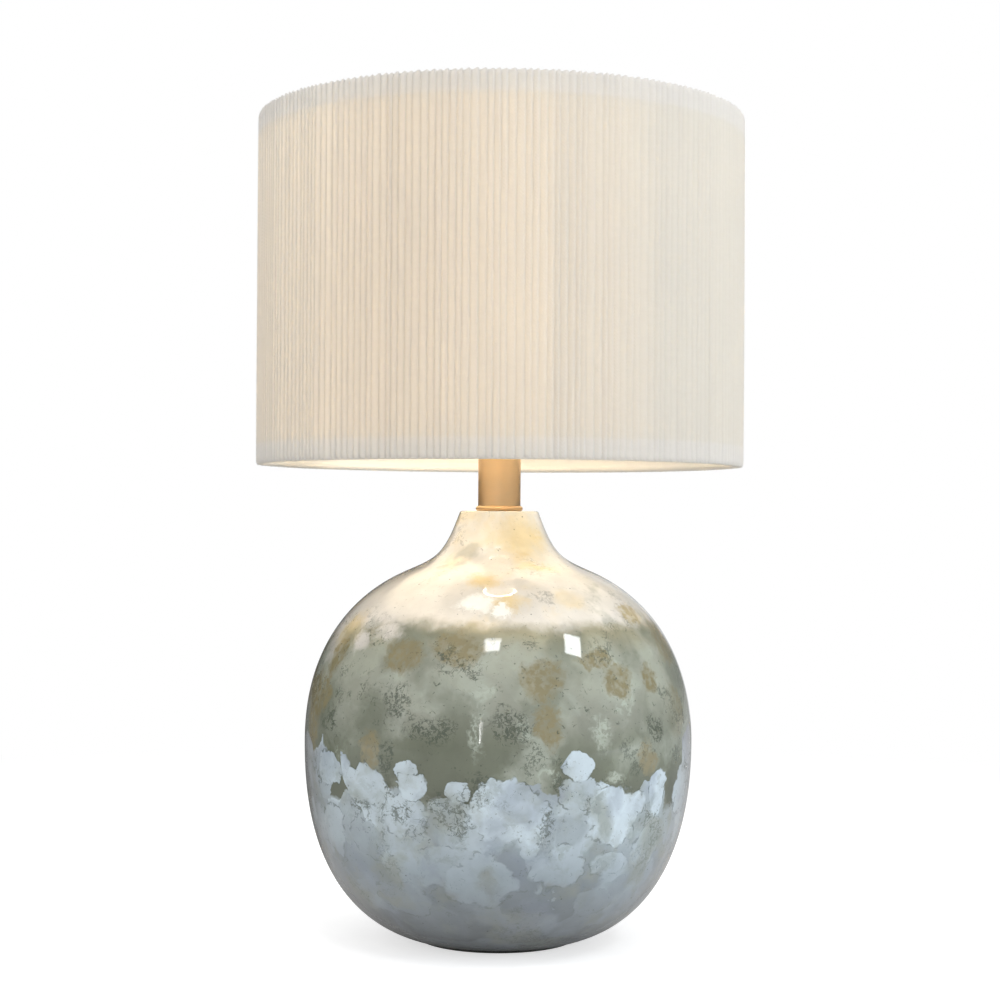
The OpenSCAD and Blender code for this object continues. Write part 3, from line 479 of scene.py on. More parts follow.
# Rounds dabbed on the front: degrees round from the front, height, half width and half height
# in millimetres, and for the pale ones how pale each is. Later ones lie over earlier ones.
PALE_DABS = (
    (-40, 79, 15, 14, 0.10), (10, 42, 18, 10, 0.05), (-17, 45, 12, 8, 0.10), (-32, 42, 22, 13, 0.45),
    (33, 40, 16, 12, 0.45), (50, 70, 15, 14, 0.60), (-57, 80, 16, 17, 0.42), (-27, 97, 17, 15, 0.62),
    (-14, 66, 22, 14, 0.60), (-4, 56, 24, 19, 0.74), (18, 66, 19, 16, 0.66), (35, 66, 14, 8, 0.82),
    (23, 110, 16, 13, 0.45), (-56, 120, 16, 11, 0.55), (-40, 112, 18, 15, 0.62), (-26, 123, 8, 6, 0.75),
    (-24, 114, 12, 10, 0.80), (-11, 112, 9, 8, 0.75), (22, 127, 11, 9, 0.90), (52, 107, 11, 17, 0.80),
    (69, 105, 17, 17, 0.65), (35, 96, 25, 20, 1.00), (3, 101, 27, 21, 0.95))
# Brown rounds in the glaze; the first, tall one on the left limb is painted shade of that limb.
BROWN_ROUNDS_AND_LIMB_SHADE = ((-69, 152, 13, 30), (47, 128, 9, 10), (-38, 134, 8, 12), (-31, 190, 15, 12),
                (-13, 196, 18, 11), (13, 178, 15, 14), (14, 151, 8, 17), (31, 189, 13, 7),
                (38, 177, 12, 10), (51, 175, 9, 9), (58, 215, 12, 8), (-61, 188, 9, 17), (-62, 165, 8, 15))
IVORY_RUNS = ((-51, 199, 9, 11), (-41, 206, 12, 9), (-66, 208, 10, 8))
VEIN_CLUSTERS = ((-30, 165, 11, 10), (-18, 147, 15, 10), (4, 149, 14, 11), (-32, 131, 6, 13),
                 (-55, 152, 6, 10), (51, 147, 9, 9), (-5, 118, 5, 8), (-32, 109, 4, 9), (17, 116, 6, 8),
                 (62, 127, 9, 6), (-27, 97, 9, 8), (-11, 94, 10, 12), (13, 90, 7, 15), (48, 92, 5, 8),
                 (-42, 97, 9, 7), (19, 227, 9, 5), (12, 243, 6, 3))
PALE_SMEARS = ((-5, 170, 9, 5), (-6, 150, 4, 20), (8, 147, 6, 10), (30, 147, 9, 13), (39, 163, 10, 9),
               (-51, 131, 6, 5), (14, 122, 9, 5), (34, 120, 9, 5))
# Dark moss ovals on the left flank: the glaze's darker green, deepened as painted shade of that side
MOSS_CLOUDS_AND_SHADE = ((-38, 154, 16, 17), (-60, 156, 13, 24), (-20, 138, 22, 9))
# Honey ovals: stains in the glaze, while those on the neck paint the warm cast of the lamplight there
HONEY_STAINS_AND_NECK_LAMPLIGHT = ((-62, 204, 14, 12), (-9, 236, 10, 6), (42, 264, 9, 14), (22, 252, 7, 4), (4, 223, 12, 5),
                (28, 244, 12, 4), (26, 262, 20, 20))
# White ovals on the shoulder: painted highlights, the lit lampshade's reflection drawn into the glaze's
# colour
PAINTED_HIGHLIGHTS = ((-9, 223, 11, 7), (0, 219, 7, 4))


def graded(node, height, band, colours):
    """The colour of a band at a height."""
    top = 300 * MM
    ramp = node("ValToRGB", node("Math", height, 1 / top, operation="MULTIPLY"))
    stops = ramp.node.color_ramp.elements
    while len(stops) < len(band):
        stops.new(0.5)
    for stop, (place, name, strength) in zip(stops, band):
        stop.position = place * MM / top
        stop.color = (*(min(1.0, c * strength) for c in getattr(colours, name)), 1.0)
    return ramp


def wander(node, place, scale, reach):
    """The place, moved about by a noise of so many clouds in a metre, by half the reach at most."""
    noise = node("TexNoise", {"Vector": place, "Scale": scale, "Detail": 2.0}, out="Color")
    centred = node("VectorMath", noise, (0.5, 0.5, 0.5), operation="SUBTRACT")
    return node("VectorMath", centred, (reach,) * 3, place, operation="MULTIPLY_ADD")


def depth_in(node, place, wall, oval):
    """How far a place lies out from the middle of an oval on the wall: 0 there, 1 on its outline.

    The oval's middle is (r sin a, -r cos a, z) with r the wall's radius at that height, and
    the value is the length of the way from it, divided along each axis by the half size.
    """
    angle, z = math.radians(oval[0]), oval[1] * MM
    radius = float(np.interp(z, wall[:, 1], wall[:, 0]))
    middle = (radius * math.sin(angle), -radius * math.cos(angle), z)
    share = [1 / (half * MM) for half in (oval[2], oval[2], oval[3])]
    shift = [-m * s for m, s in zip(middle, share)]
    away = node("VectorMath", place, share, shift, operation="MULTIPLY_ADD")
    return node("VectorMath", away, out="Value", operation="LENGTH")


def in_ovals(node, place, wall, ovals, edge, middle):
    """1 well inside any of some ovals and 0 outside, easing from the edge to the middle value."""
    nearest = 9.0
    for oval in ovals:
        nearest = node("Math", nearest, depth_in(node, place, wall, oval), operation="MINIMUM")
    return node("MapRange", nearest, edge, middle, 0.0, 1.0, **EASED)


def surveyed(node, sizes):
    """Where a point is on the body, in each way that the patterns of the glaze ask for.

    wandering is the point moved about, so that outlines wander by 6 mm over 22 mm and by 2 mm
    over 4 mm, and ragged is moved further, so that they fray. level is its height with a slow
    swell of about 5 mm over 140 mm. front is how much lower the scattered dabs end there, and
    behind is 0 on the front and 1 at the back.
    """
    place = node("TexCoord", out="Object")
    wandering = wander(node, wander(node, place, 45.0, 13 * MM), 240.0, 4.5 * MM)
    ragged = wander(node, wander(node, wandering, 150.0, 9 * MM), 420.0, 6 * MM)
    slow = node("Math", node("TexNoise", {"Vector": place, "Scale": 7.0, "Detail": 1.0}), 22 * MM, -11 * MM,
                operation="MULTIPLY_ADD")
    height = node("SeparateXYZ", wandering, out="Z")
    forward = node("SeparateXYZ", place, out="Y")
    front = node("MapRange", forward, -30 * MM, -75 * MM, 0.0, FRONT_DROP, **EASED)
    return SimpleNamespace(
        place=place, wandering=wandering, ragged=ragged, wall=wall_curve(sizes, 0.0, 20),
        slow=slow, height=height, level=node("Math", height, slow, operation="ADD"),
        front=front, behind=node("MapRange", front, 0.0, FRONT_DROP, 1.0, 0.0))


def scattered_dabs(node, at):
    """Dabs all round the body: where frost and where ivory cover it, how pale and how thick they are.

    Each size of dab is a Voronoi pattern. A dab is frost where its cell's middle lies low
    enough, which is lower on the front, and ivory where it lies high enough behind.
    """
    sunk = node("Math", at.level, at.front, operation="ADD")
    frost = node("MapRange", sunk, FROST_TOP - 8 * MM, FROST_TOP - 13 * MM, 0.0, 1.0)
    ivory = node("MapRange", at.level, IVORY_FOOT - 5 * MM, IVORY_FOOT + 7 * MM, 0.0, 1.0, **EASED)
    tone, relief = 0.1, 0.0
    for size, radius, soft, shift in DABS:
        moved = node("VectorMath", at.wandering, (shift, -shift, shift), operation="ADD")
        distance = node("TexVoronoi", {"Vector": moved, "Scale": 1 / size})
        cell = distance.node.outputs
        chance = node("SeparateColor", cell["Color"])
        middle = node("Math", node("SeparateXYZ", cell["Position"], out="Z"), at.slow, operation="ADD")
        middle = node("Math", chance, 12 * MM, middle, operation="MULTIPLY_ADD")
        low = node("Math", node("Math", middle, at.front, operation="ADD"), FROST_TOP + shift + 6 * MM,
                   operation="LESS_THAN")
        crisp = node("MapRange", distance, radius, radius - 0.06, 0.0, 1.0, **EASED)
        frost = node("Math", frost, node("Math", crisp, low, operation="MULTIPLY"), operation="MAXIMUM")
        high = node("Math", middle, IVORY_FOOT + shift + 6 * MM, operation="GREATER_THAN")
        high = node("Math", high, at.behind, operation="MULTIPLY")
        cloudy = node("MapRange", distance, radius + 0.06, radius - 0.24, 0.0, 1.0, **EASED)
        ivory = node("Math", ivory, node("Math", cloudy, high, operation="MULTIPLY"), operation="MAXIMUM")
        inside = node("MapRange", distance, radius, radius - soft, 0.0, 1.0, **EASED)
        tone = node("Mix", {0: node("Math", inside, 0.75, operation="MULTIPLY"), 2: tone,
                            3: chance.node.outputs[1]})
        relief = node("Math", node("Math", inside, 0.7, operation="MULTIPLY"), relief, operation="MAXIMUM")
    return frost, ivory, tone, relief


def front_dabs(node, at, frost, tone, relief):
    """Lays the front's own pale dabs over these three, and gives the outlines that stay in sight too."""
    # Bulges 9 mm and 4 mm across along a dab's outline, as shares of its half size
    bulges = -0.16
    for place, pitch, share in ((at.wandering, 10 * MM, 0.34), (at.place, 4.5 * MM, 0.12)):
        bulges = node("Math", node("TexVoronoi", {"Vector": place, "Scale": 1 / pitch}), share, bulges,
                      operation="MULTIPLY_ADD")
    rims = 0.0
    for oval in PALE_DABS:
        out = node("Math", depth_in(node, at.wandering, at.wall, oval), bulges, operation="ADD")
        inside = node("MapRange", out, 1.03, 0.93, 0.0, 1.0, **EASED)
        mellow = node("MapRange", out, 1.03, 0.88, 0.0, 0.9, **EASED)
        kept = node("Math", rims, node("Math", 1.0, inside, operation="SUBTRACT"), operation="MULTIPLY")
        rims = node("Math", kept, node("Math", out, 1.0, 0.035, operation="COMPARE"), operation="MAXIMUM")
        tone = node("Mix", {0: mellow, 2: tone, 3: oval[4]})
        relief = node("Math", node("Math", inside, 0.9, operation="MULTIPLY"), relief, operation="MAXIMUM")
        if oval[1] > ALL_FROST:
            frost = node("Math", frost, inside, operation="MAXIMUM")
    return frost, tone, relief, rims


def brown_patches(node, at):
    """Brown rounds with frayed outlines: placed on the front, with a tall one on the left limb that is
    painted shade, and behind scattered over the middle band.
    """
    browns_and_limb_shade = in_ovals(node, at.ragged, at.wall, BROWN_ROUNDS_AND_LIMB_SHADE, 1.15, 0.65)
    scattered = node("TexVoronoi", {"Vector": at.ragged, "Scale": 1 / (38 * MM)})
    cell = scattered.node.outputs
    patch = node("MapRange", scattered, 0.55, 0.38, 0.0, 1.0, **EASED)
    middle = node("SeparateXYZ", cell["Position"], out="Z")
    near = node("Math", middle, 182 * MM, 30 * MM, operation="COMPARE")
    chosen = node("Math", node("SeparateColor", cell["Color"]), 0.4, operation="GREATER_THAN")
    for share in (near, chosen, at.behind):
        patch = node("Math", patch, share, operation="MULTIPLY")
    browns_and_limb_shade = node("Math", browns_and_limb_shade, patch, operation="MAXIMUM")
    worn = uneven(node, at.place, 230.0, 0.55, 1.0, 5.0, (0.34, 0.60))
    return node("Math", browns_and_limb_shade, worn, operation="MULTIPLY")


def dark_marks(node, at, rims):
    """Veins and moss-like specks in clusters, with broken lines along the dabs' outlines.

    The veins run where a coarse noise crosses 0.5, and the second value is how far it is off.
    """
    clusters = in_ovals(node, at.wandering, at.wall, VEIN_CLUSTERS, 1.35, 0.35)
    strewn = node("Math", uneven(node, at.place, 30.0, 0.0, 0.8, 4.0, (0.54, 0.66)), at.behind,
                  operation="MULTIPLY")
    strewn = node("Math", strewn, uneven(node, at.place, 34.0, 0.0, 0.6, 4.0, (0.52, 0.66)),
                  operation="MAXIMUM")
    clusters = node("Math", clusters, strewn, operation="MAXIMUM")
    fine = node("TexNoise", {"Vector": at.place, "Scale": 300.0, "Detail": 6.0, "Roughness": 0.68,
                             "Distortion": 1.2})
    dense = node("Math", clusters, 0.13, fine, operation="MULTIPLY_ADD")
    specks = node("MapRange", dense, 0.60, 0.70, 0.0, 1.0, **EASED)
    coarse = node("TexNoise", {"Vector": at.wandering, "Scale": 120.0, "Detail": 4.0, "Roughness": 0.6})
    off_line = node("Math", node("Math", coarse, 0.5, operation="SUBTRACT"), operation="ABSOLUTE")
    veins = node("Math", node("MapRange", off_line, 0.030, 0.006, 0.0, 1.0),
                 node("MapRange", clusters, 0.15, 0.7, 0.0, 0.9), operation="MULTIPLY")
    broken = uneven(node, at.place, 170.0, 0.0, 1.0, 4.0, (0.46, 0.60))
    outline = node("Math", node("Math", rims, broken, operation="MULTIPLY"), 0.7, operation="MULTIPLY")
    dark = node("Math", node("Math", specks, veins, operation="MAXIMUM"), outline, operation="MAXIMUM")
    # Fainter in the ivory and towards the foot
    for start, end, low, high in ((222 * MM, 190 * MM, 0.3, 0.85), (45 * MM, 120 * MM, 0.35, 1.0)):
        fading = node("MapRange", at.height, start, end, low, high, **EASED)
        dark = node("Math", dark, fading, operation="MULTIPLY")
    return dark, off_line


def band_colours(node, at, colours, tone, browns_and_limb_shade, off_line):
    """The colours of the middle, the lower and the upper band, each with its own stains.

    The first two are brighter where a dab is pale.
    """
    green, blue = (
        node("VectorMath", {0: graded(node, at.level, band, colours),
                            "Scale": node("MapRange", tone, 0.0, 1.0, dark, pale)}, operation="SCALE")
        for band, dark, pale in ((MOSS_BAND, 0.88, 1.10), (FROST_BAND_WITH_FOOT_SHADE, 0.60, 1.20)))

    # Dark moss clouds on the left flank, partly the glaze's darker green and partly painted shade, brown
    # rounds with the left limb's painted shade, and milky smears with bright threads in them
    clouds = in_ovals(node, at.ragged, at.wall, MOSS_CLOUDS_AND_SHADE, 1.4, 0.2)
    milky = node("Math", in_ovals(node, at.ragged, at.wall, PALE_SMEARS, 1.2, 0.2),
                 node("MapRange", off_line, 0.02, 0.09, 0.75, 0.12), operation="MULTIPLY")
    green = laid_over(node, green, (
        (uneven(node, at.wandering, 24.0, 0.0, 0.6, 5.0, (0.48, 0.66)), linear("#B5BBAE")),
        (uneven(node, at.wandering, 17.0, 0.6, 0.0, 5.0, (0.36, 0.50)), colours.moss),
        (node("Math", clouds, 0.75, operation="MULTIPLY"), colours.moss),
        (browns_and_limb_shade, colours.umber), (milky, linear("#BAC2B4"))))

    # Greenish, bluish and warm clouds, warmer still behind, and a darker, warm grey-brown towards the foot
    # that is partly painted shade
    blue = laid_over(node, blue, (
        (uneven(node, at.wandering, 36.0, 0.0, 0.7, 6.0, (0.47, 0.66)), linear("#93998F")),
        (uneven(node, at.ragged, 75.0, 0.0, 0.5, 5.0, (0.50, 0.68)), linear("#8F9A97")),
        (uneven(node, at.wandering, 26.0, 0.0, 0.5, 5.0, (0.52, 0.66)), linear("#8E99A8")),
        # Darker grey-brown towards the foot: painted shade, partly the glaze's own colour
        (node("MapRange", at.height, 75 * MM, 25 * MM, 0.0, 0.35), linear("#8F8B86")),
        (node("Math", at.behind, 0.5, operation="MULTIPLY"), linear("#A09890"))))

    # Honey and sage stains, with the honey ovals on the neck also painting the lamplight's warm cast, brown
    # rounds, and white painted highlights where the lit lampshade is reflected
    honey = in_ovals(node, at.ragged, at.wall, HONEY_STAINS_AND_NECK_LAMPLIGHT, 1.5, 0.2)
    honey = node("Math", honey, 0.7, operation="MULTIPLY")
    painted_highlights = in_ovals(node, at.ragged, at.wall, PAINTED_HIGHLIGHTS, 1.3, 0.6)
    cream = laid_over(node, graded(node, at.level, IVORY_BAND, colours), (
        (uneven(node, at.wandering, 21.0, 0.0, 0.5, 4.0, (0.52, 0.70)), colours.honey),
        (uneven(node, at.place, 37.0, 0.0, 0.4, 4.0, (0.60, 0.70)), colours.sage),
        (browns_and_limb_shade, linear("#BDAF8C")), (honey, colours.honey), (painted_highlights, linear("#FFFFFA"))))
    return green, blue, cream


def reactive_glaze(sizes, colours):
    """Reactive glaze on stoneware, dabbed on with a sponge in overlapping rounds, then gloss fired.

    The eye sees glassy reflections over clouded rounds of colour, crisp where the pale glaze
    was dabbed over the green, with veins and specks where it crawled, and small pits.
    """
    material, node = new_material("Reactive glazed stoneware")
    at = surveyed(node, sizes)
    frost, ivory, tone, relief = scattered_dabs(node, at)
    frost, tone, relief, rims = front_dabs(node, at, frost, tone, relief)
    runs = in_ovals(node, at.ragged, at.wall, IVORY_RUNS, 1.4, 0.3)
    ivory = node("Math", ivory, runs, operation="MAXIMUM")
    browns_and_limb_shade = brown_patches(node, at)
    dark, off_line = dark_marks(node, at, rims)
    green, blue, cream = band_colours(node, at, colours, tone, browns_and_limb_shade, off_line)

    # Pits of about half a millimetre
    holes = node("TexVoronoi", {"Vector": at.place, "Scale": 1 / (5 * MM)})
    few = node("Math", node("SeparateColor", holes.node.outputs["Color"]), 0.8, operation="GREATER_THAN")
    pit = node("Math", node("MapRange", holes, 0.13, 0.07, 0.0, 1.0), few, operation="MULTIPLY")
    mark = node("Math", dark, node("Math", pit, 0.6, operation="MULTIPLY"), operation="MAXIMUM")
    colour = laid_over(node, green, ((ivory, cream), (frost, blue), (mark, colours.crack)))
    mottle = node("MapRange", node("TexNoise", {"Vector": at.place, "Scale": 60.0, "Detail": 7.0}),
                  0.3, 0.7, 0.92, 1.07)

    # Glaze lies 0.1 mm thicker in a dab, over an orange peel 20 mm across
    peel = node("TexNoise", {"Vector": at.place, "Scale": 50.0, "Detail": 1.0})
    soft = node("Bump", {"Height": peel, "Distance": 0.35 * MM, "Strength": 1.0})
    bump = node("Bump", {"Height": node("Math", relief, pit, operation="SUBTRACT"), "Distance": 0.1 * MM,
                         "Strength": 1.0, "Normal": soft})
    surface = node("BsdfPrincipled", {
        "Base Color": node("VectorMath", {0: colour, "Scale": mottle}, operation="SCALE"),
        "Roughness": node("Math", mark, 0.25, 0.07, operation="MULTIPLY_ADD"), "IOR": 1.52,
        "Normal": bump, "Coat Weight": 0.6, "Coat Roughness": 0.02, "Coat IOR": 1.5})
    node("OutputMaterial", {"Surface": surface})
    return material


def biscuit_clay(colours):
    """Bare fired stoneware, which is matt and faintly gritty to the eye."""
    return plain_finish("Bare stoneware biscuit", colours.biscuit, (0.75, 0.92), grain=900.0, relief=0.12,
                        fade=0.14)


def build_body(sizes, colours):
    """The glazed body: its profile carried round, with the cord outlet cut through low at the back."""
    profile, glazed = body_profile(sizes)
    angles = np.linspace(0, 2 * np.pi, BODY_COLUMNS, endpoint=False)
    outer = np.arange(len(profile)) < 3 * BODY_STEPS
    ripple = slump(profile, angles, sizes) * outer[:, None]
    quads = grid_quads(len(profile), BODY_COLUMNS, close_rows=True)
    bare = np.repeat(~glazed, BODY_COLUMNS)
    piece = make_piece("glazed_body", "base", carried_round(profile, angles, ripple), quads,
                       [reactive_glaze(sizes, colours), biscuit_clay(colours)], picks=bare)
    mount = next(m for m in frame["record"]["mounts"] if m["name"] == "cord_inlet")
    axis = np.array(mount["axis"])
    drill(piece, np.array(mount["pos_m"]) + OUTLET_REACH * axis, axis)
    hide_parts("ceramic_body")
    return piece


def build_felt(sizes):
    """The felt disc under the foot, with a soft cut edge."""
    radius, edge = reach_of("felt_pad"), 0.4 * MM
    rim = np.concatenate([
        [(0.0, 0.0), (radius / 2, 0.0)], arc((radius - edge, edge), edge, -90, 0, 4),
        arc((radius - edge, sizes.felt - edge), edge, 0, 90, 4),
        [(radius / 2, sizes.felt), (0.0, sizes.felt)]])
    # Pressed wool: matt, with a fuzz that catches light at its edge
    wool = plain_finish("Pressed wool felt", linear("#3B4038"), (0.9, 1.0), grain=1500.0, relief=0.25,
                        fade=0.3, **{"Sheen Weight": 0.5, "Sheen Roughness": 0.6})
    piece = turned("felt_disc", "base", rim, wool)
    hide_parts("felt_pad")
    return piece


# Shade

# A pleat across its pitch: place outside and height of the fold, both as shares, the place
# of the cloth's inner side, and how many further layers lie behind. It tucks under at its end.
PLEAT = np.array([
    (0.00, 0.00, 0.00, 1.0), (0.18, 0.40, 0.16, 0.3), (0.42, 0.80, 0.38, 0.0), (0.64, 1.00, 0.56, 0.1),
    (0.81, 0.96, 0.68, 0.6), (0.90, 0.72, 0.75, 1.0), (0.87, 0.26, 0.80, 1.0),
])
END_ROWS = (0.0, 0.5, 1.2, 2.2, 4.0, 8.0)     # millimetres from an end of the cloth
CUT_ROW = 9                                   # the row along which the cut width is measured
WIDTH_VARIES, DEPTH_VARIES, SWELL = 0.16, 0.28, 0.10     # shares by which the pleats differ
TURN_IN, TURN_IN_OVER = 0.7 * MM, 1.6 * MM    # how far the cloth turns in at its ends
TOOTH, TOOTH_VARIES = 0.9 * MM, 0.5 * MM      # how far a crest stands over a valley at the top
# How far the pleats drift sideways, and over how many half turns of a sine on their way up
DRIFTS = ((0.14 * MM, 1.3), (0.10 * MM, 3.1), (0.06 * MM, 6.3))
HOOP_WIRE = 1.5 * MM                          # radius of the hoops' wire
HEM_ROLL = 1.9 * MM                           # radius of the hem's turn round that wire
RIM_ROWS = 6                                  # rows of a hem that lie on the rim
SEAM_ANGLE = math.radians(197.3)              # where the liner is lapped, behind the lamp


def pleat_grid(sizes):
    """Places (2 rows, columns) of the knife-pleated cloth, its cut width and its fold values.

    Column j of pleat i stands at angle 2 pi (sum of shares up to i + share_i PLEAT_j) and
    radius valley + depth_i height_j. Pleats differ in width and depth, and drift sideways by
    up to 0.3 mm as they rise. The cloth's inner side runs a cloth's thickness behind. At both
    ends the cloth turns in, and the crests stand out as teeth.
    """
    chance = np.random.default_rng(6490)
    count, per = sizes.pleats, len(PLEAT)
    share = 1 + WIDTH_VARIES * np.clip(chance.normal(size=count), -2, 2)
    share *= 2 * np.pi / share.sum()
    start = np.concatenate([[0.0], np.cumsum(share)[:-1]])
    depth = sizes.pleat_depth * (1 - DEPTH_VARIES * chance.random(count))
    tooth = TOOTH + TOOTH_VARIES * chance.random(count)
    valley = sizes.shade_radius - sizes.pleat_depth

    low, high = sizes.shade_bottom + sizes.cloth, sizes.shade_top - sizes.cloth
    ends = np.array(END_ROWS) * MM
    height = np.concatenate([low + ends, np.linspace(low + 16 * MM, high - 16 * MM, 12), high - ends[::-1]])
    rise = (height - low) / (high - low)
    near = np.minimum(height - low, high - height)
    rounding = TURN_IN * np.clip(1 - near / TURN_IN_OVER, 0, 1) ** 2

    phase = chance.random((3, count)) * 2 * np.pi
    drift = sum(far * np.sin(turns * np.pi * rise[:, None] + p) for (far, turns), p in zip(DRIFTS, phase))
    swell = 1 + SWELL * np.sin(5.0 * rise[:, None] + phase[0]) * np.ones(count)

    def surface(place, radius):
        """The places of one side of the cloth."""
        angle = (start[:, None] + share[:, None] * place).ravel() + np.repeat(drift, per, axis=1) / valley
        radius = radius - rounding[:, None]
        return np.stack([radius * np.sin(angle), -radius * np.cos(angle),
                         np.broadcast_to(height[:, None], radius.shape)], axis=-1)

    fold_height = (depth[None, :, None] * swell[:, :, None] * PLEAT[:, 1]).reshape(len(height), -1)
    outer = surface(PLEAT[:, 0], valley + fold_height)
    inner = surface(PLEAT[:, 2], valley + fold_height - sizes.cloth)
    lift = (tooth[:, None] * PLEAT[:, 1] ** 1.5 - 0.3 * MM).ravel()
    for side in (outer, inner):
        for row, part in ((-1, 1.0), (-2, 0.6), (0, -0.5)):
            side[row, :, 2] += part * lift
    places = np.concatenate([outer, inner[::-1]])
    step = np.linalg.norm(np.roll(outer[CUT_ROW], -1, axis=0) - outer[CUT_ROW], axis=-1)
    cut = np.concatenate([[0.0], np.cumsum(step)])
    marks = np.tile(np.tile(PLEAT[:, 3], count), len(places))
    return places, cut, marks


def grid_maps(across, along):
    """The four (u, v) pairs of each quad of a grid that is closed both ways, in metres."""
    u0, v0 = np.meshgrid(across[:-1], along)
    u1, v1 = np.meshgrid(across[1:], np.roll(along, -1))
    pairs = ((u0, v0), (u1, v0), (u1, v1), (u0, v1))
    return np.stack([np.stack(pair, axis=-1) for pair in pairs], axis=-2).reshape(-1, 4, 2)


def shade_light(node, surface, through):
    """Lets light of the bulb reach the outer surface: for shadow rays the cloth is a tinted gauze."""
    gauze = node("BsdfTransparent", {"Color": through})
    return node("MixShader", node("LightPath", out="Is Shadow Ray"), surface, gauze)


def woven(node, pitch, slub):
    """Height and tone of a plain weave over the cloth's own map, which is in metres.

    Warp and weft are sine ridges, pitch apart, that swap at each crossing; the tone wanders
    along the weft by slub, as thick and thin yarn does.
    """
    place = node("UVMap", uv_map="surface")
    height = 1.0
    for axis in node("SeparateXYZ", place).node.outputs[:2]:
        turns = node("Math", axis, math.pi / pitch, operation="MULTIPLY")
        height = node("Math", height, node("Math", turns, operation="SINE"), operation="MULTIPLY")
    return height, uneven(node, place, 350.0, 1 - slub, 1.0, 4.0, stretch=(0.3, 1.0, 1.0))


def cloth_finish(name, colour, through, share, fold_dims, hems=None):
    """Woven cotton and linen that glows from behind: matt, soft at the edge, brighter where single.

    share is how much of the light comes through a single layer, fold_dims how much of that
    a fold with more layers takes away. hems are the cloth's height and the width of its hems,
    which are painted a cooler white: painted light, for the hems keeping the bulb's warm glow
    off that band.
    """
    material, node = new_material(name)
    # Yarn 1.1 mm apart, twice the real cloth's, so that it still shows in the picture
    height, tone = woven(node, 1.1 * MM, 0.05)
    fold = node("Attribute", attribute_name="fold", out="Fac")
    single = node("Math", fold, -fold_dims, 1.0, operation="MULTIPLY_ADD")
    bump = node("Bump", {"Height": height, "Distance": 0.05 * MM, "Strength": 1.0})
    # The hem band is painted a cooler white: painted light, where the hems keep the bulb's warm glow off the
    # cloth.
    if hems:
        half, start = hems[0] / 2, hems[0] / 2 - hems[1]
        up = node("SeparateXYZ", node("UVMap", uv_map="surface"), out="Y")
        off = node("Math", node("Math", up, half, operation="SUBTRACT"), operation="ABSOLUTE")
        hem = node("MapRange", off, start - MM, start + MM, 0.0, 1.0)
        colour = laid_over(node, colour, [(hem, linear("#E7E8EE"))])
    lit = node("BsdfPrincipled", {
        "Base Color": node("VectorMath", {0: colour, "Scale": tone}, operation="SCALE"), "Roughness": 0.9,
        "Specular IOR Level": 0.2, "Sheen Weight": 0.25, "Sheen Roughness": 0.5, "Normal": bump})
    glow = node("VectorMath", {0: (0.90, 0.87, 0.82), "Scale": single}, operation="SCALE")
    behind = node("BsdfTranslucent", {"Color": glow, "Normal": bump})
    cloth = shade_light(node, node("MixShader", share, lit, behind), through)
    node("OutputMaterial", {"Surface": cloth})
    return material


def build_cloth(sizes, colours):
    """The knife-pleated cloth of the drum, a closed shell as thick as the cloth."""
    places, cut, marks = pleat_grid(sizes)
    rows, columns = places.shape[:2]
    tall = sizes.shade_top - sizes.shade_bottom
    cloth = cloth_finish("Pleated cotton-linen", tuple(colours.cloth), (0.66, 0.64, 0.60), 0.68, 0.06,
                         (tall, sizes.hem_width))
    piece = make_piece("pleated_cloth", "shade", places.reshape(-1, 3),
                       grid_quads(rows, columns, close_rows=True), [cloth],
                       maps=grid_maps(cut, places[..., 2].mean(axis=1) - sizes.shade_bottom),
                       marks=marks, sharp=100.0)
    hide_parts("shade_fabric")
    return piece


def hem_path(sizes, ring, edge, side):
    """Middle line of a hem: from the rim over the hoop, round it and along the liner.

    ring is the hoop's (radius, height), edge the height of the drum's end and side +1 at the
    top and -1 at the bottom. The tape makes most of a circle about the hoop's wire, bends back
    to the liner and hangs along it. corner is on the liner's inner side, level with the hoop.
    """
    corner = (sizes.liner_radius - sizes.liner, ring[1])
    rim = line((sizes.shade_radius - 1.5 * MM, edge - side * 0.75 * MM),
               (ring[0] + MM, edge - side * 0.25 * MM), RIM_ROWS)
    start = arc((0, 0), HEM_ROLL, 90, 265, 15) * (1, side) + ring
    bend = np.array([(-0.9, -3.2), (-0.35, -4.6)]) * MM * (1, side) + corner
    hang = line((-0.35 * MM, -5.4 * MM), (-0.4 * MM, -sizes.hem_width), 8) * (1, side) + corner
    return np.concatenate([rim, start, bend, hang])


def build_hem(name, part, sizes, cloth, ring, edge, side):
    """A hem tape, with the pleats showing through it at the rim."""
    path = hem_path(sizes, ring, edge, side)
    half = sizes.cloth / 2 * 0.9
    profile = np.concatenate([offset(path, half), offset(path, -half)[::-1]])
    angles = np.linspace(0, 2 * np.pi, 3 * sizes.pleats, endpoint=False)
    fade = np.clip(1 - np.arange(len(path)) / RIM_ROWS, 0, 1)
    ripple = np.concatenate([fade, fade[::-1]])[:, None] * 0.3 * MM * np.sin(sizes.pleats * angles)
    reach = np.concatenate([[0], np.cumsum(np.linalg.norm(np.diff(path, axis=0), axis=1))])
    maps = grid_maps(np.linspace(0, 2 * np.pi * ring[0], len(angles) + 1),
                     np.concatenate([reach, reach[::-1]]))
    piece = make_piece(name, "shade", carried_round(profile, angles, ripple),
                       grid_quads(len(profile), len(angles), close_rows=True), [cloth],
                       maps=maps, sharp=60.0)
    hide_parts(part)
    return piece


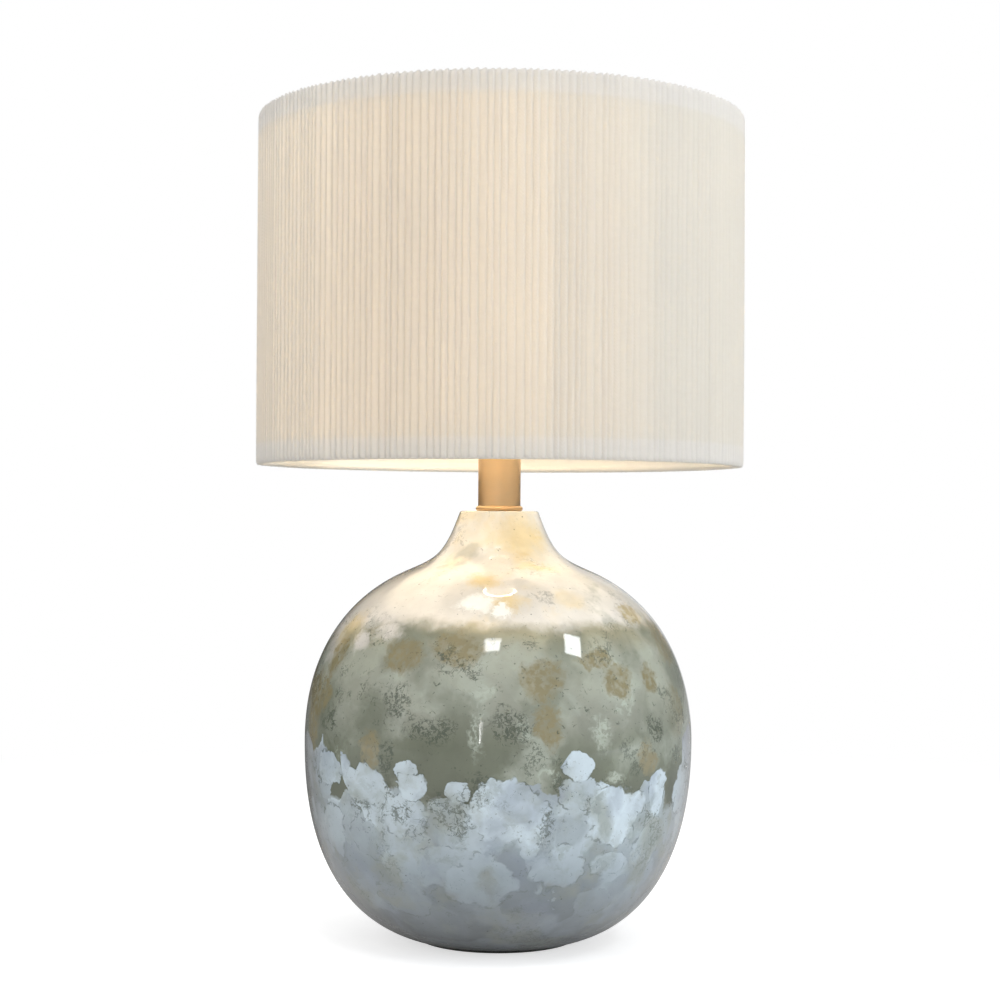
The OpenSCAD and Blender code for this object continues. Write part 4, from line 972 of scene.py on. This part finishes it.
def build_hems(sizes, colours):
    """The two hem tapes, which turn the cloth's ends in over the hoops."""
    tape = cloth_finish("Cotton hem tape", tuple(colours.hem), (0.76, 0.85, 0.95), 0.6, 0.0)
    hoop = reach_of("shade_bottom_ring") - HOOP_WIRE
    top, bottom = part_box("shade_top_frame")[1].z - HOOP_WIRE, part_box("shade_bottom_ring")[0].z + HOOP_WIRE
    return [build_hem("hem_top", "shade_top_hem", sizes, tape, (hoop, top), sizes.shade_top, 1),
            build_hem("hem_bottom", "shade_bottom_hem", sizes, tape, (hoop, bottom), sizes.shade_bottom, -1)]


def build_liner(sizes, colours):
    """The liner film: a strip rolled into a drum, its end lapped 12 mm over its start."""
    rows, lap_columns = 12, 7
    height = np.linspace(*(corner.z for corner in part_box("shade_liner")), rows)
    inner = np.full(rows, sizes.liner_radius - sizes.liner)
    profile = np.concatenate([np.stack([np.full(rows, sizes.liner_radius), height], axis=-1),
                              np.stack([inner, height[::-1]], axis=-1)])
    lap = 12 * MM / sizes.liner_radius
    angles = SEAM_ANGLE + np.concatenate([
        np.linspace(0, lap, lap_columns - 1, endpoint=False), [lap - 1e-4],
        np.linspace(lap, 2 * np.pi, 240, endpoint=False)])
    ripple = np.zeros((2 * rows, len(angles)))
    ripple[rows:, :lap_columns] = -0.35 * MM
    film, node = new_material("White styrene liner film")
    # Smooth, faintly pearly film that scatters what passes through it
    place = node("TexCoord", out="Object")
    tone = node("VectorMath", {0: tuple(colours.film), "Scale": uneven(node, place, 18.0, 0.96, 1.0)},
                operation="SCALE")
    lit = node("BsdfPrincipled", {"Base Color": tone, "Roughness": uneven(node, place, 120.0, 0.38, 0.5)})
    mixed = node("MixShader", 0.22, lit, node("BsdfTranslucent", {"Color": tone}))
    node("OutputMaterial", {"Surface": shade_light(node, mixed, (0.86, 0.85, 0.83))})
    piece = make_piece("liner_film", "shade", carried_round(profile, angles, ripple),
                       grid_quads(2 * rows, len(angles), close_rows=True), [film], sharp=30.0)
    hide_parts("shade_liner")
    return piece


def build_finial(sizes, brass):
    """The finial: a foot, a cove, a ball, and the bore for the stud."""
    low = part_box("finial")[0].z
    ball, edge, chamfer = sizes.finial_radius, 0.35 * MM, 0.3 * MM
    bore, deep, foot, waist = 3.275 * MM, 11 * MM, 2.5 * MM, 2.125 * MM
    waist_angle = -44.2      # degrees round the ball to where the cove meets it
    turn = np.radians(np.linspace(0, 90, 14))
    cove = np.stack([ball - waist * np.sin(turn), foot + ball * (1 - np.cos(turn))], axis=-1)
    profile = np.concatenate([
        [(0.0, deep), (bore, deep), (bore, chamfer), (bore + chamfer, 0.0)],
        arc((ball - edge, edge), edge, -90, 0, 5), arc((ball - edge, foot - edge), edge, 0, 60, 4),
        cove[2:], arc((0, foot + 2 * ball), ball, waist_angle, 90, 26)])
    profile[-1, 0] = 0.0
    piece = turned("finial_knob", "finial", profile + (0, low), brass, columns=72, sharp=50.0)
    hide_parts("finial")
    return piece


def finish_metalwork(sizes, colours):
    """Finishes the metal parts that the CAD model carries over, and turns the finial."""
    # Brushed and lacquered: broad soft streaks of light along the tube
    satin = plain_finish("Satin lacquered brass", colours.brass, (0.38, 0.50), metallic=1.0, grain=500.0,
                         relief=0.015, stretch=(1.0, 1.0, 0.08),
                         **{"Anisotropic": 0.4, "Coat Weight": 0.25, "Coat Roughness": 0.1})
    assign(satin, "satin_brass", "neck_tube", "neck_ring", "tube_cap")
    # Plated and polished: clearer reflections, with faint handling marks
    plated = plain_finish("Polished plated brass", colours.plated, (0.14, 0.26), metallic=1.0, grain=300.0,
                          relief=0.01)
    assign(plated, "brass", "harp_bow", "harp_ferrule_left", "harp_ferrule_right", "harp_stud",
           "harp_saddle", "saddle_nut", "socket_cap", "socket_shell", "switch_shaft")
    build_finial(sizes, plated)
    # Turned and left bare: fine rings from the tool and a duller, uneven gloss
    bare = plain_finish("Bare turned brass", linear("#B99C5B"), (0.28, 0.46), metallic=1.0, grain=900.0,
                        stretch=(1.0, 1.0, 4.0), fade=0.15)
    assign(bare, "brass", "base_nut", "socket_contact", "terminal_screws", "bulb_eyelet")
    # Zinc: cool grey with a patchy spangle
    zinc = plain_finish("Zinc plated steel", linear("#B4B7BA"), (0.26, 0.48), metallic=1.0, grain=250.0,
                        relief=0.015, fade=0.18)
    assign(zinc, "steel", "lamp_pipe", "base_washer", "cap_set_screw")
    # Powder coat: fine orange peel with a low gloss
    powder = plain_finish("White powder coat", colours.wire, (0.42, 0.55), grain=1200.0, relief=0.05,
                          fade=0.04)
    assign(powder, "white_wire", "shade_top_frame", "shade_bottom_ring")


def finish_fittings(colours):
    """Finishes the rubber, card, plastic and bulb parts that the CAD model carries over."""
    # Moulded rubber: nearly matt, with a soft bloom
    rubber = plain_finish("Moulded black rubber", linear("#26262A"), (0.6, 0.8), grain=800.0, relief=0.05,
                          fade=0.2)
    assign(rubber, "rubber", "cord_outlet_bush", "base_gasket")
    # Moulded phenolic: deep brown-black, glossy from the mould, with faint flow marks
    phenolic = plain_finish("Moulded phenolic", linear("#2A1D16"), (0.16, 0.3), grain=200.0,
                            stretch=(1.0, 1.0, 0.4), fade=0.25)
    assign(phenolic, "phenolic", "socket_core", "switch_knob")
    # Vulcanised fibre card: matt, mottled with fibres that run round it
    card = plain_finish("Vulcanised fibre card", linear("#BDAE85"), (0.65, 0.85), grain=700.0, relief=0.06,
                        stretch=(1.0, 1.0, 0.2), fade=0.2)
    assign(card, "insulating_card", "socket_insulator")
    # Rolled aluminium: bright, streaked along the roll
    rolled = plain_finish("Rolled aluminium", linear("#C8C9CC"), (0.22, 0.38), metallic=1.0, grain=600.0,
                          relief=0.01, stretch=(1.0, 1.0, 0.1), fade=0.1)
    assign(rolled, "cap_metal", "screw_shell", "bulb_screw_cap")
    # Glassy black insulator: dark, with a sharp gloss
    black = plain_finish("Black glass insulator", linear("#17181B"), (0.08, 0.16), grain=150.0, fade=0.2)
    assign(black, "cap_glass", "bulb_cap_insulator")
    # White moulded housing: smooth, satin
    white = plain_finish("White moulded housing", linear("#E9E7E0"), (0.35, 0.48), grain=500.0, relief=0.03,
                         fade=0.04)
    assign(white, "bulb_housing", "bulb_housing")
    # Solder mask: white and smooth, with a low gloss
    board = plain_finish("White printed board", linear("#E6E8E0"), (0.4, 0.55), grain=300.0)
    assign(board, "board", "bulb_light_board")
    # Opal diffuser, lit from within: an even warm white
    opal = plain_finish("Lit opal diffuser", linear("#FFF8EA"), (0.3, 0.4), grain=300.0, fade=0.04,
                        **{"Emission Color": (*colours.glow, 1.0), "Emission Strength": 5.0})
    assign(opal, "opal", "bulb_globe")


# Stage

# Sideways light of the bulb: degrees round from the front, and share of the bulb's power
LOBES = ((-34, 0.041), (190, 0.033))
MIRRORED = 0.6           # share of the even light that reflections find in front of the lamp
COOL = (0.93, 0.97, 1.0)
WHITE = (1.0, 1.0, 1.0)


def sight(stage):
    """The camera's matrix: it looks along +Y, turned right by the yaw and up by the pitch, then rolled."""
    yaw, pitch, roll = stage.yaw, stage.pitch, stage.roll
    ahead = Vector((math.sin(yaw), math.cos(yaw), 0.0))
    right = Vector((math.cos(yaw), -math.sin(yaw), 0.0))
    forward = math.cos(pitch) * ahead + math.sin(pitch) * Vector((0, 0, 1))
    up = -math.sin(pitch) * ahead + math.cos(pitch) * Vector((0, 0, 1))
    x, y = math.cos(roll) * right + math.sin(roll) * up, -math.sin(roll) * right + math.cos(roll) * up
    turn = Matrix((x, y, -forward)).transposed().to_4x4()
    return Matrix.Translation((0, -stage.distance, stage.height)) @ turn


def placed(name, data):
    """A new object of the scene."""
    made = bpy.data.objects.new(name, data)
    bpy.context.scene.collection.objects.link(made)
    return made


def soft_light(name, place, aim, size, power, colour=WHITE, roll=0.0):
    """A rectangular softbox at a place, turned towards an aim, which the camera doesn't see.

    roll turns it by so many degrees about the line to its aim.
    """
    lamp = bpy.data.lights.new(name, "AREA")
    lamp.shape, lamp.size, lamp.size_y = "RECTANGLE", *size
    lamp.energy, lamp.color = power, colour
    made = placed(name, lamp)
    made.matrix_world = (Matrix.Translation(place)
                         @ (Vector(aim) - Vector(place)).to_track_quat("-Z", "Y").to_matrix().to_4x4()
                         @ Matrix.Rotation(math.radians(roll), 4, "Z"))
    made.visible_camera = False
    return made


def build_surround(stage):
    """The world: white for the camera, an even light for every other ray.

    Reflections find less of it: the MIRRORED share in front of the lamp, a third of that
    behind it on the right, and almost nothing behind it on the left.
    """
    world = bpy.data.worlds.new("Surround")
    world.use_nodes = True
    world.node_tree.nodes.clear()
    node = functools.partial(add, world.node_tree)
    path = node("LightPath").node.outputs
    way = node("SeparateXYZ", node("TexCoord", out="Generated")).node.outputs
    left = node("MapRange", way["X"], 0.1, -0.05, 0.38, 0.92 * MIRRORED)
    back = node("MapRange", way["Y"], -0.4, 0.2, 0.0, stage.ambient)
    mirrored = node("Math", MIRRORED * stage.ambient, node("Math", left, back, operation="MULTIPLY"),
                    operation="SUBTRACT")
    even = node("Mix", {0: path["Is Glossy Ray"], 2: stage.ambient, 3: mirrored})
    strength = node("Mix", {0: path["Is Camera Ray"], 2: even, 3: 1.0})
    node("OutputWorld", {"Surface": node("Background", {"Color": WHITE, "Strength": strength})})
    bpy.context.scene.world = world


def build_lights(stage, colours):
    """The studio's lights, and those of the bulb, which move with it."""
    key, aim = stage.key_power, (0, 0, 0.2)
    studio = [
        # Two overhead boxes whose mirror images stand under the shoulder like windows
        soft_light("window_left", (-0.068, -0.830, 1.66), aim, (0.22, 0.54), key),
        soft_light("window_right", (1.013, -0.492, 1.411), aim, (0.26, 0.42), key, COOL, -42),
        # A narrow box behind the camera and a tall one behind the lamp, for streaks and the right limb
        soft_light("streak", (-0.287, -1.688, 0.30), aim, (0.02, 0.26), 0.06 * key),
        soft_light("limb", (0.42, 1.58, 0.30), aim, (0.30, 1.4), 0.12 * key, COOL),
    ]
    # Large boxes on both sides, which reflections don't show
    hidden = [
        soft_light("side", (2.0, -0.7, 0.55), (0, 0, 0.35), (1.0, 1.2), 4.0 * key, (0.80, 0.90, 1.0)),
        soft_light("left", (-1.8, -0.6, 0.6), (0, 0, 0.4), (1.2, 1.4), 1.75 * key, (0.92, 0.96, 1.0)),
    ]
    lamp = bpy.data.lights.new("bulb_light", "POINT")
    lamp.energy, lamp.color, lamp.shadow_soft_size = stage.bulb_power, colours.glow, 31 * MM
    glow = placed("bulb_light", lamp)
    low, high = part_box("bulb_globe")
    glow.location = (0, 0, high.z - (high.x - low.x) / 2)
    glow.visible_camera = False
    lobes, middle = [], Vector((0, 0, 0.43))
    for turn, share in LOBES:
        ahead = Vector((math.sin(math.radians(turn)), -math.cos(math.radians(turn)), 0.0))
        lobes.append(soft_light("bulb_side", middle + 0.05 * ahead, middle + ahead, (0.04, 0.12),
                                share * stage.bulb_power, colours.glow))
    for light in hidden + lobes:
        light.visible_glossy = False
    for light in (glow, *lobes):
        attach(light, "bulb")
    return studio + hidden


def build_floor():
    """White paper sweep: lit by the studio for all rays, and lifted to white for the camera.

    It stays lit near the lamp, where it carries the shadow. In reflections it is dark behind
    the lamp, most of all on the left, and looked at from below it isn't there.
    """
    mesh = bpy.data.meshes.new("floor")
    mesh.from_pydata([(-4, -4, 0), (4, -4, 0), (4, 8, 0), (-4, 8, 0)], [], [(0, 1, 2, 3)])
    floor = placed("floor", mesh)
    floor.location.z = -0.2 * MM
    sweep, node = new_material("White paper sweep")
    place = node("TexCoord", out="Object")
    paper = node("VectorMath", {0: WHITE, "Scale": uneven(node, place, 60.0, 0.60, 0.64)}, operation="SCALE")
    diffuse = node("BsdfDiffuse", {"Color": paper})
    lifted = node("AddShader", diffuse, node("Emission", {"Strength": 0.62}))
    away = node("VectorMath", place, out="Value", operation="LENGTH")
    far = node("MapRange", away, 0.35, 1.1, **EASED)
    camera_sees = node("MixShader", far, lifted, node("Emission", {"Strength": 1.0}))
    aside = node("SeparateXYZ", place).node.outputs
    left = node("MapRange", aside["X"], 0.1, -0.05, 0.35, 0.85)
    back = node("MapRange", aside["Y"], -0.05, 0.25, 0.0, node("LightPath", out="Is Glossy Ray"))
    dim = node("MixShader", node("Math", left, back, operation="MULTIPLY"), diffuse,
               node("BsdfDiffuse", {"Color": (0.05, 0.05, 0.05)}))
    above = node("MixShader", node("LightPath", out="Is Camera Ray"), dim, camera_sees)
    seen = node("MixShader", node("NewGeometry", out="Backfacing"), above, node("BsdfTransparent"))
    node("OutputMaterial", {"Surface": seen})
    mesh.materials.append(sweep)
    return floor


def build_stage(stage, colours):
    """Camera, pale floor, white surround, studio lights and the bulb's own light."""
    scene = bpy.context.scene
    scene.view_settings.view_transform = "Standard"
    lens = bpy.data.cameras.new("Camera")
    lens.lens, lens.sensor_width = stage.lens, 36.0
    camera = placed("Camera", lens)
    camera.matrix_world = sight(stage)
    scene.camera = camera
    build_surround(stage)
    lights = build_lights(stage, colours)
    build_floor()


# Operators

class LAMP_OT_body(bpy.types.Operator):
    """Build the glazed ceramic body with its cord outlet"""

    bl_idname, bl_label = "lamp.body", "Ceramic Body"

    def execute(self, context):
        scene = context.scene
        build_body(scene.lamp_sizes, scene.lamp_colours)
        return {"FINISHED"}


class LAMP_OT_felt(bpy.types.Operator):
    """Build the felt disc under the foot"""

    bl_idname, bl_label = "lamp.felt", "Felt Disc"

    def execute(self, context):
        build_felt(context.scene.lamp_sizes)
        return {"FINISHED"}


class LAMP_OT_cloth(bpy.types.Operator):
    """Build the knife-pleated cloth of the shade and its two hems"""

    bl_idname, bl_label = "lamp.cloth", "Pleated Cloth and Hems"

    def execute(self, context):
        scene = context.scene
        hems = build_hems(scene.lamp_sizes, scene.lamp_colours)
        build_cloth(scene.lamp_sizes, scene.lamp_colours)
        return {"FINISHED"}


class LAMP_OT_liner(bpy.types.Operator):
    """Build the liner film inside the shade"""

    bl_idname, bl_label = "lamp.liner", "Liner Film"

    def execute(self, context):
        scene = context.scene
        build_liner(scene.lamp_sizes, scene.lamp_colours)
        return {"FINISHED"}


class LAMP_OT_metalwork(bpy.types.Operator):
    """Finish the neck, harp, socket, shade wire and hidden hardware, and turn the finial"""

    bl_idname, bl_label = "lamp.metalwork", "Metalwork"

    def execute(self, context):
        scene = context.scene
        finish_metalwork(scene.lamp_sizes, scene.lamp_colours)
        return {"FINISHED"}


class LAMP_OT_fittings(bpy.types.Operator):
    """Finish the rubber, card, plastic and bulb parts"""

    bl_idname, bl_label = "lamp.fittings", "Bulb and Fittings"

    def execute(self, context):
        finish_fittings(context.scene.lamp_colours)
        return {"FINISHED"}


class LAMP_OT_stage(bpy.types.Operator):
    """Set the camera, the floor and the lights"""

    bl_idname, bl_label = "lamp.stage", "Stage"

    def execute(self, context):
        scene = context.scene
        build_stage(scene.lamp_stage, scene.lamp_colours)
        return {"FINISHED"}


OPERATORS = (LAMP_OT_body, LAMP_OT_felt, LAMP_OT_cloth, LAMP_OT_liner, LAMP_OT_metalwork,
             LAMP_OT_fittings, LAMP_OT_stage)


class LAMP_PT_panel(bpy.types.Panel):
    """Lists the lamp's sizes, its colours and its builders."""

    bl_idname, bl_label = "LAMP_PT_panel", "Glazed Table Lamp"
    bl_space_type, bl_region_type, bl_category = "VIEW_3D", "UI", "Lamp"

    def draw(self, context):
        scene = context.scene
        for group in (scene.lamp_sizes, scene.lamp_colours, scene.lamp_stage):
            column = self.layout.column(align=True)
            for name in group.__annotations__:
                column.prop(group, name)
        column = self.layout.column(align=True)
        for operator in OPERATORS:
            column.operator(operator.bl_idname)


GROUPS = {"lamp_sizes": LampSizes, "lamp_colours": LampColours, "lamp_stage": LampStage}


def register():
    """Adds the property groups, the operators and the panel to Blender."""
    for group in GROUPS.values():
        bpy.utils.register_class(group)
    for name, group in GROUPS.items():
        setattr(bpy.types.Scene, name, PointerProperty(type=group))
    for operator in OPERATORS:
        bpy.utils.register_class(operator)
    bpy.utils.register_class(LAMP_PT_panel)


def unregister():
    """Takes the panel, the operators and the property groups out again."""
    bpy.utils.unregister_class(LAMP_PT_panel)
    for operator in reversed(OPERATORS):
        bpy.utils.unregister_class(operator)
    for name, group in GROUPS.items():
        delattr(bpy.types.Scene, name)
        bpy.utils.unregister_class(group)


def main():
    register()
    bpy.ops.lamp.body()
    bpy.ops.lamp.felt()
    bpy.ops.lamp.cloth()
    bpy.ops.lamp.liner()
    bpy.ops.lamp.metalwork()
    bpy.ops.lamp.fittings()
    bpy.ops.lamp.stage()


if __name__ == "__main__":
    main()
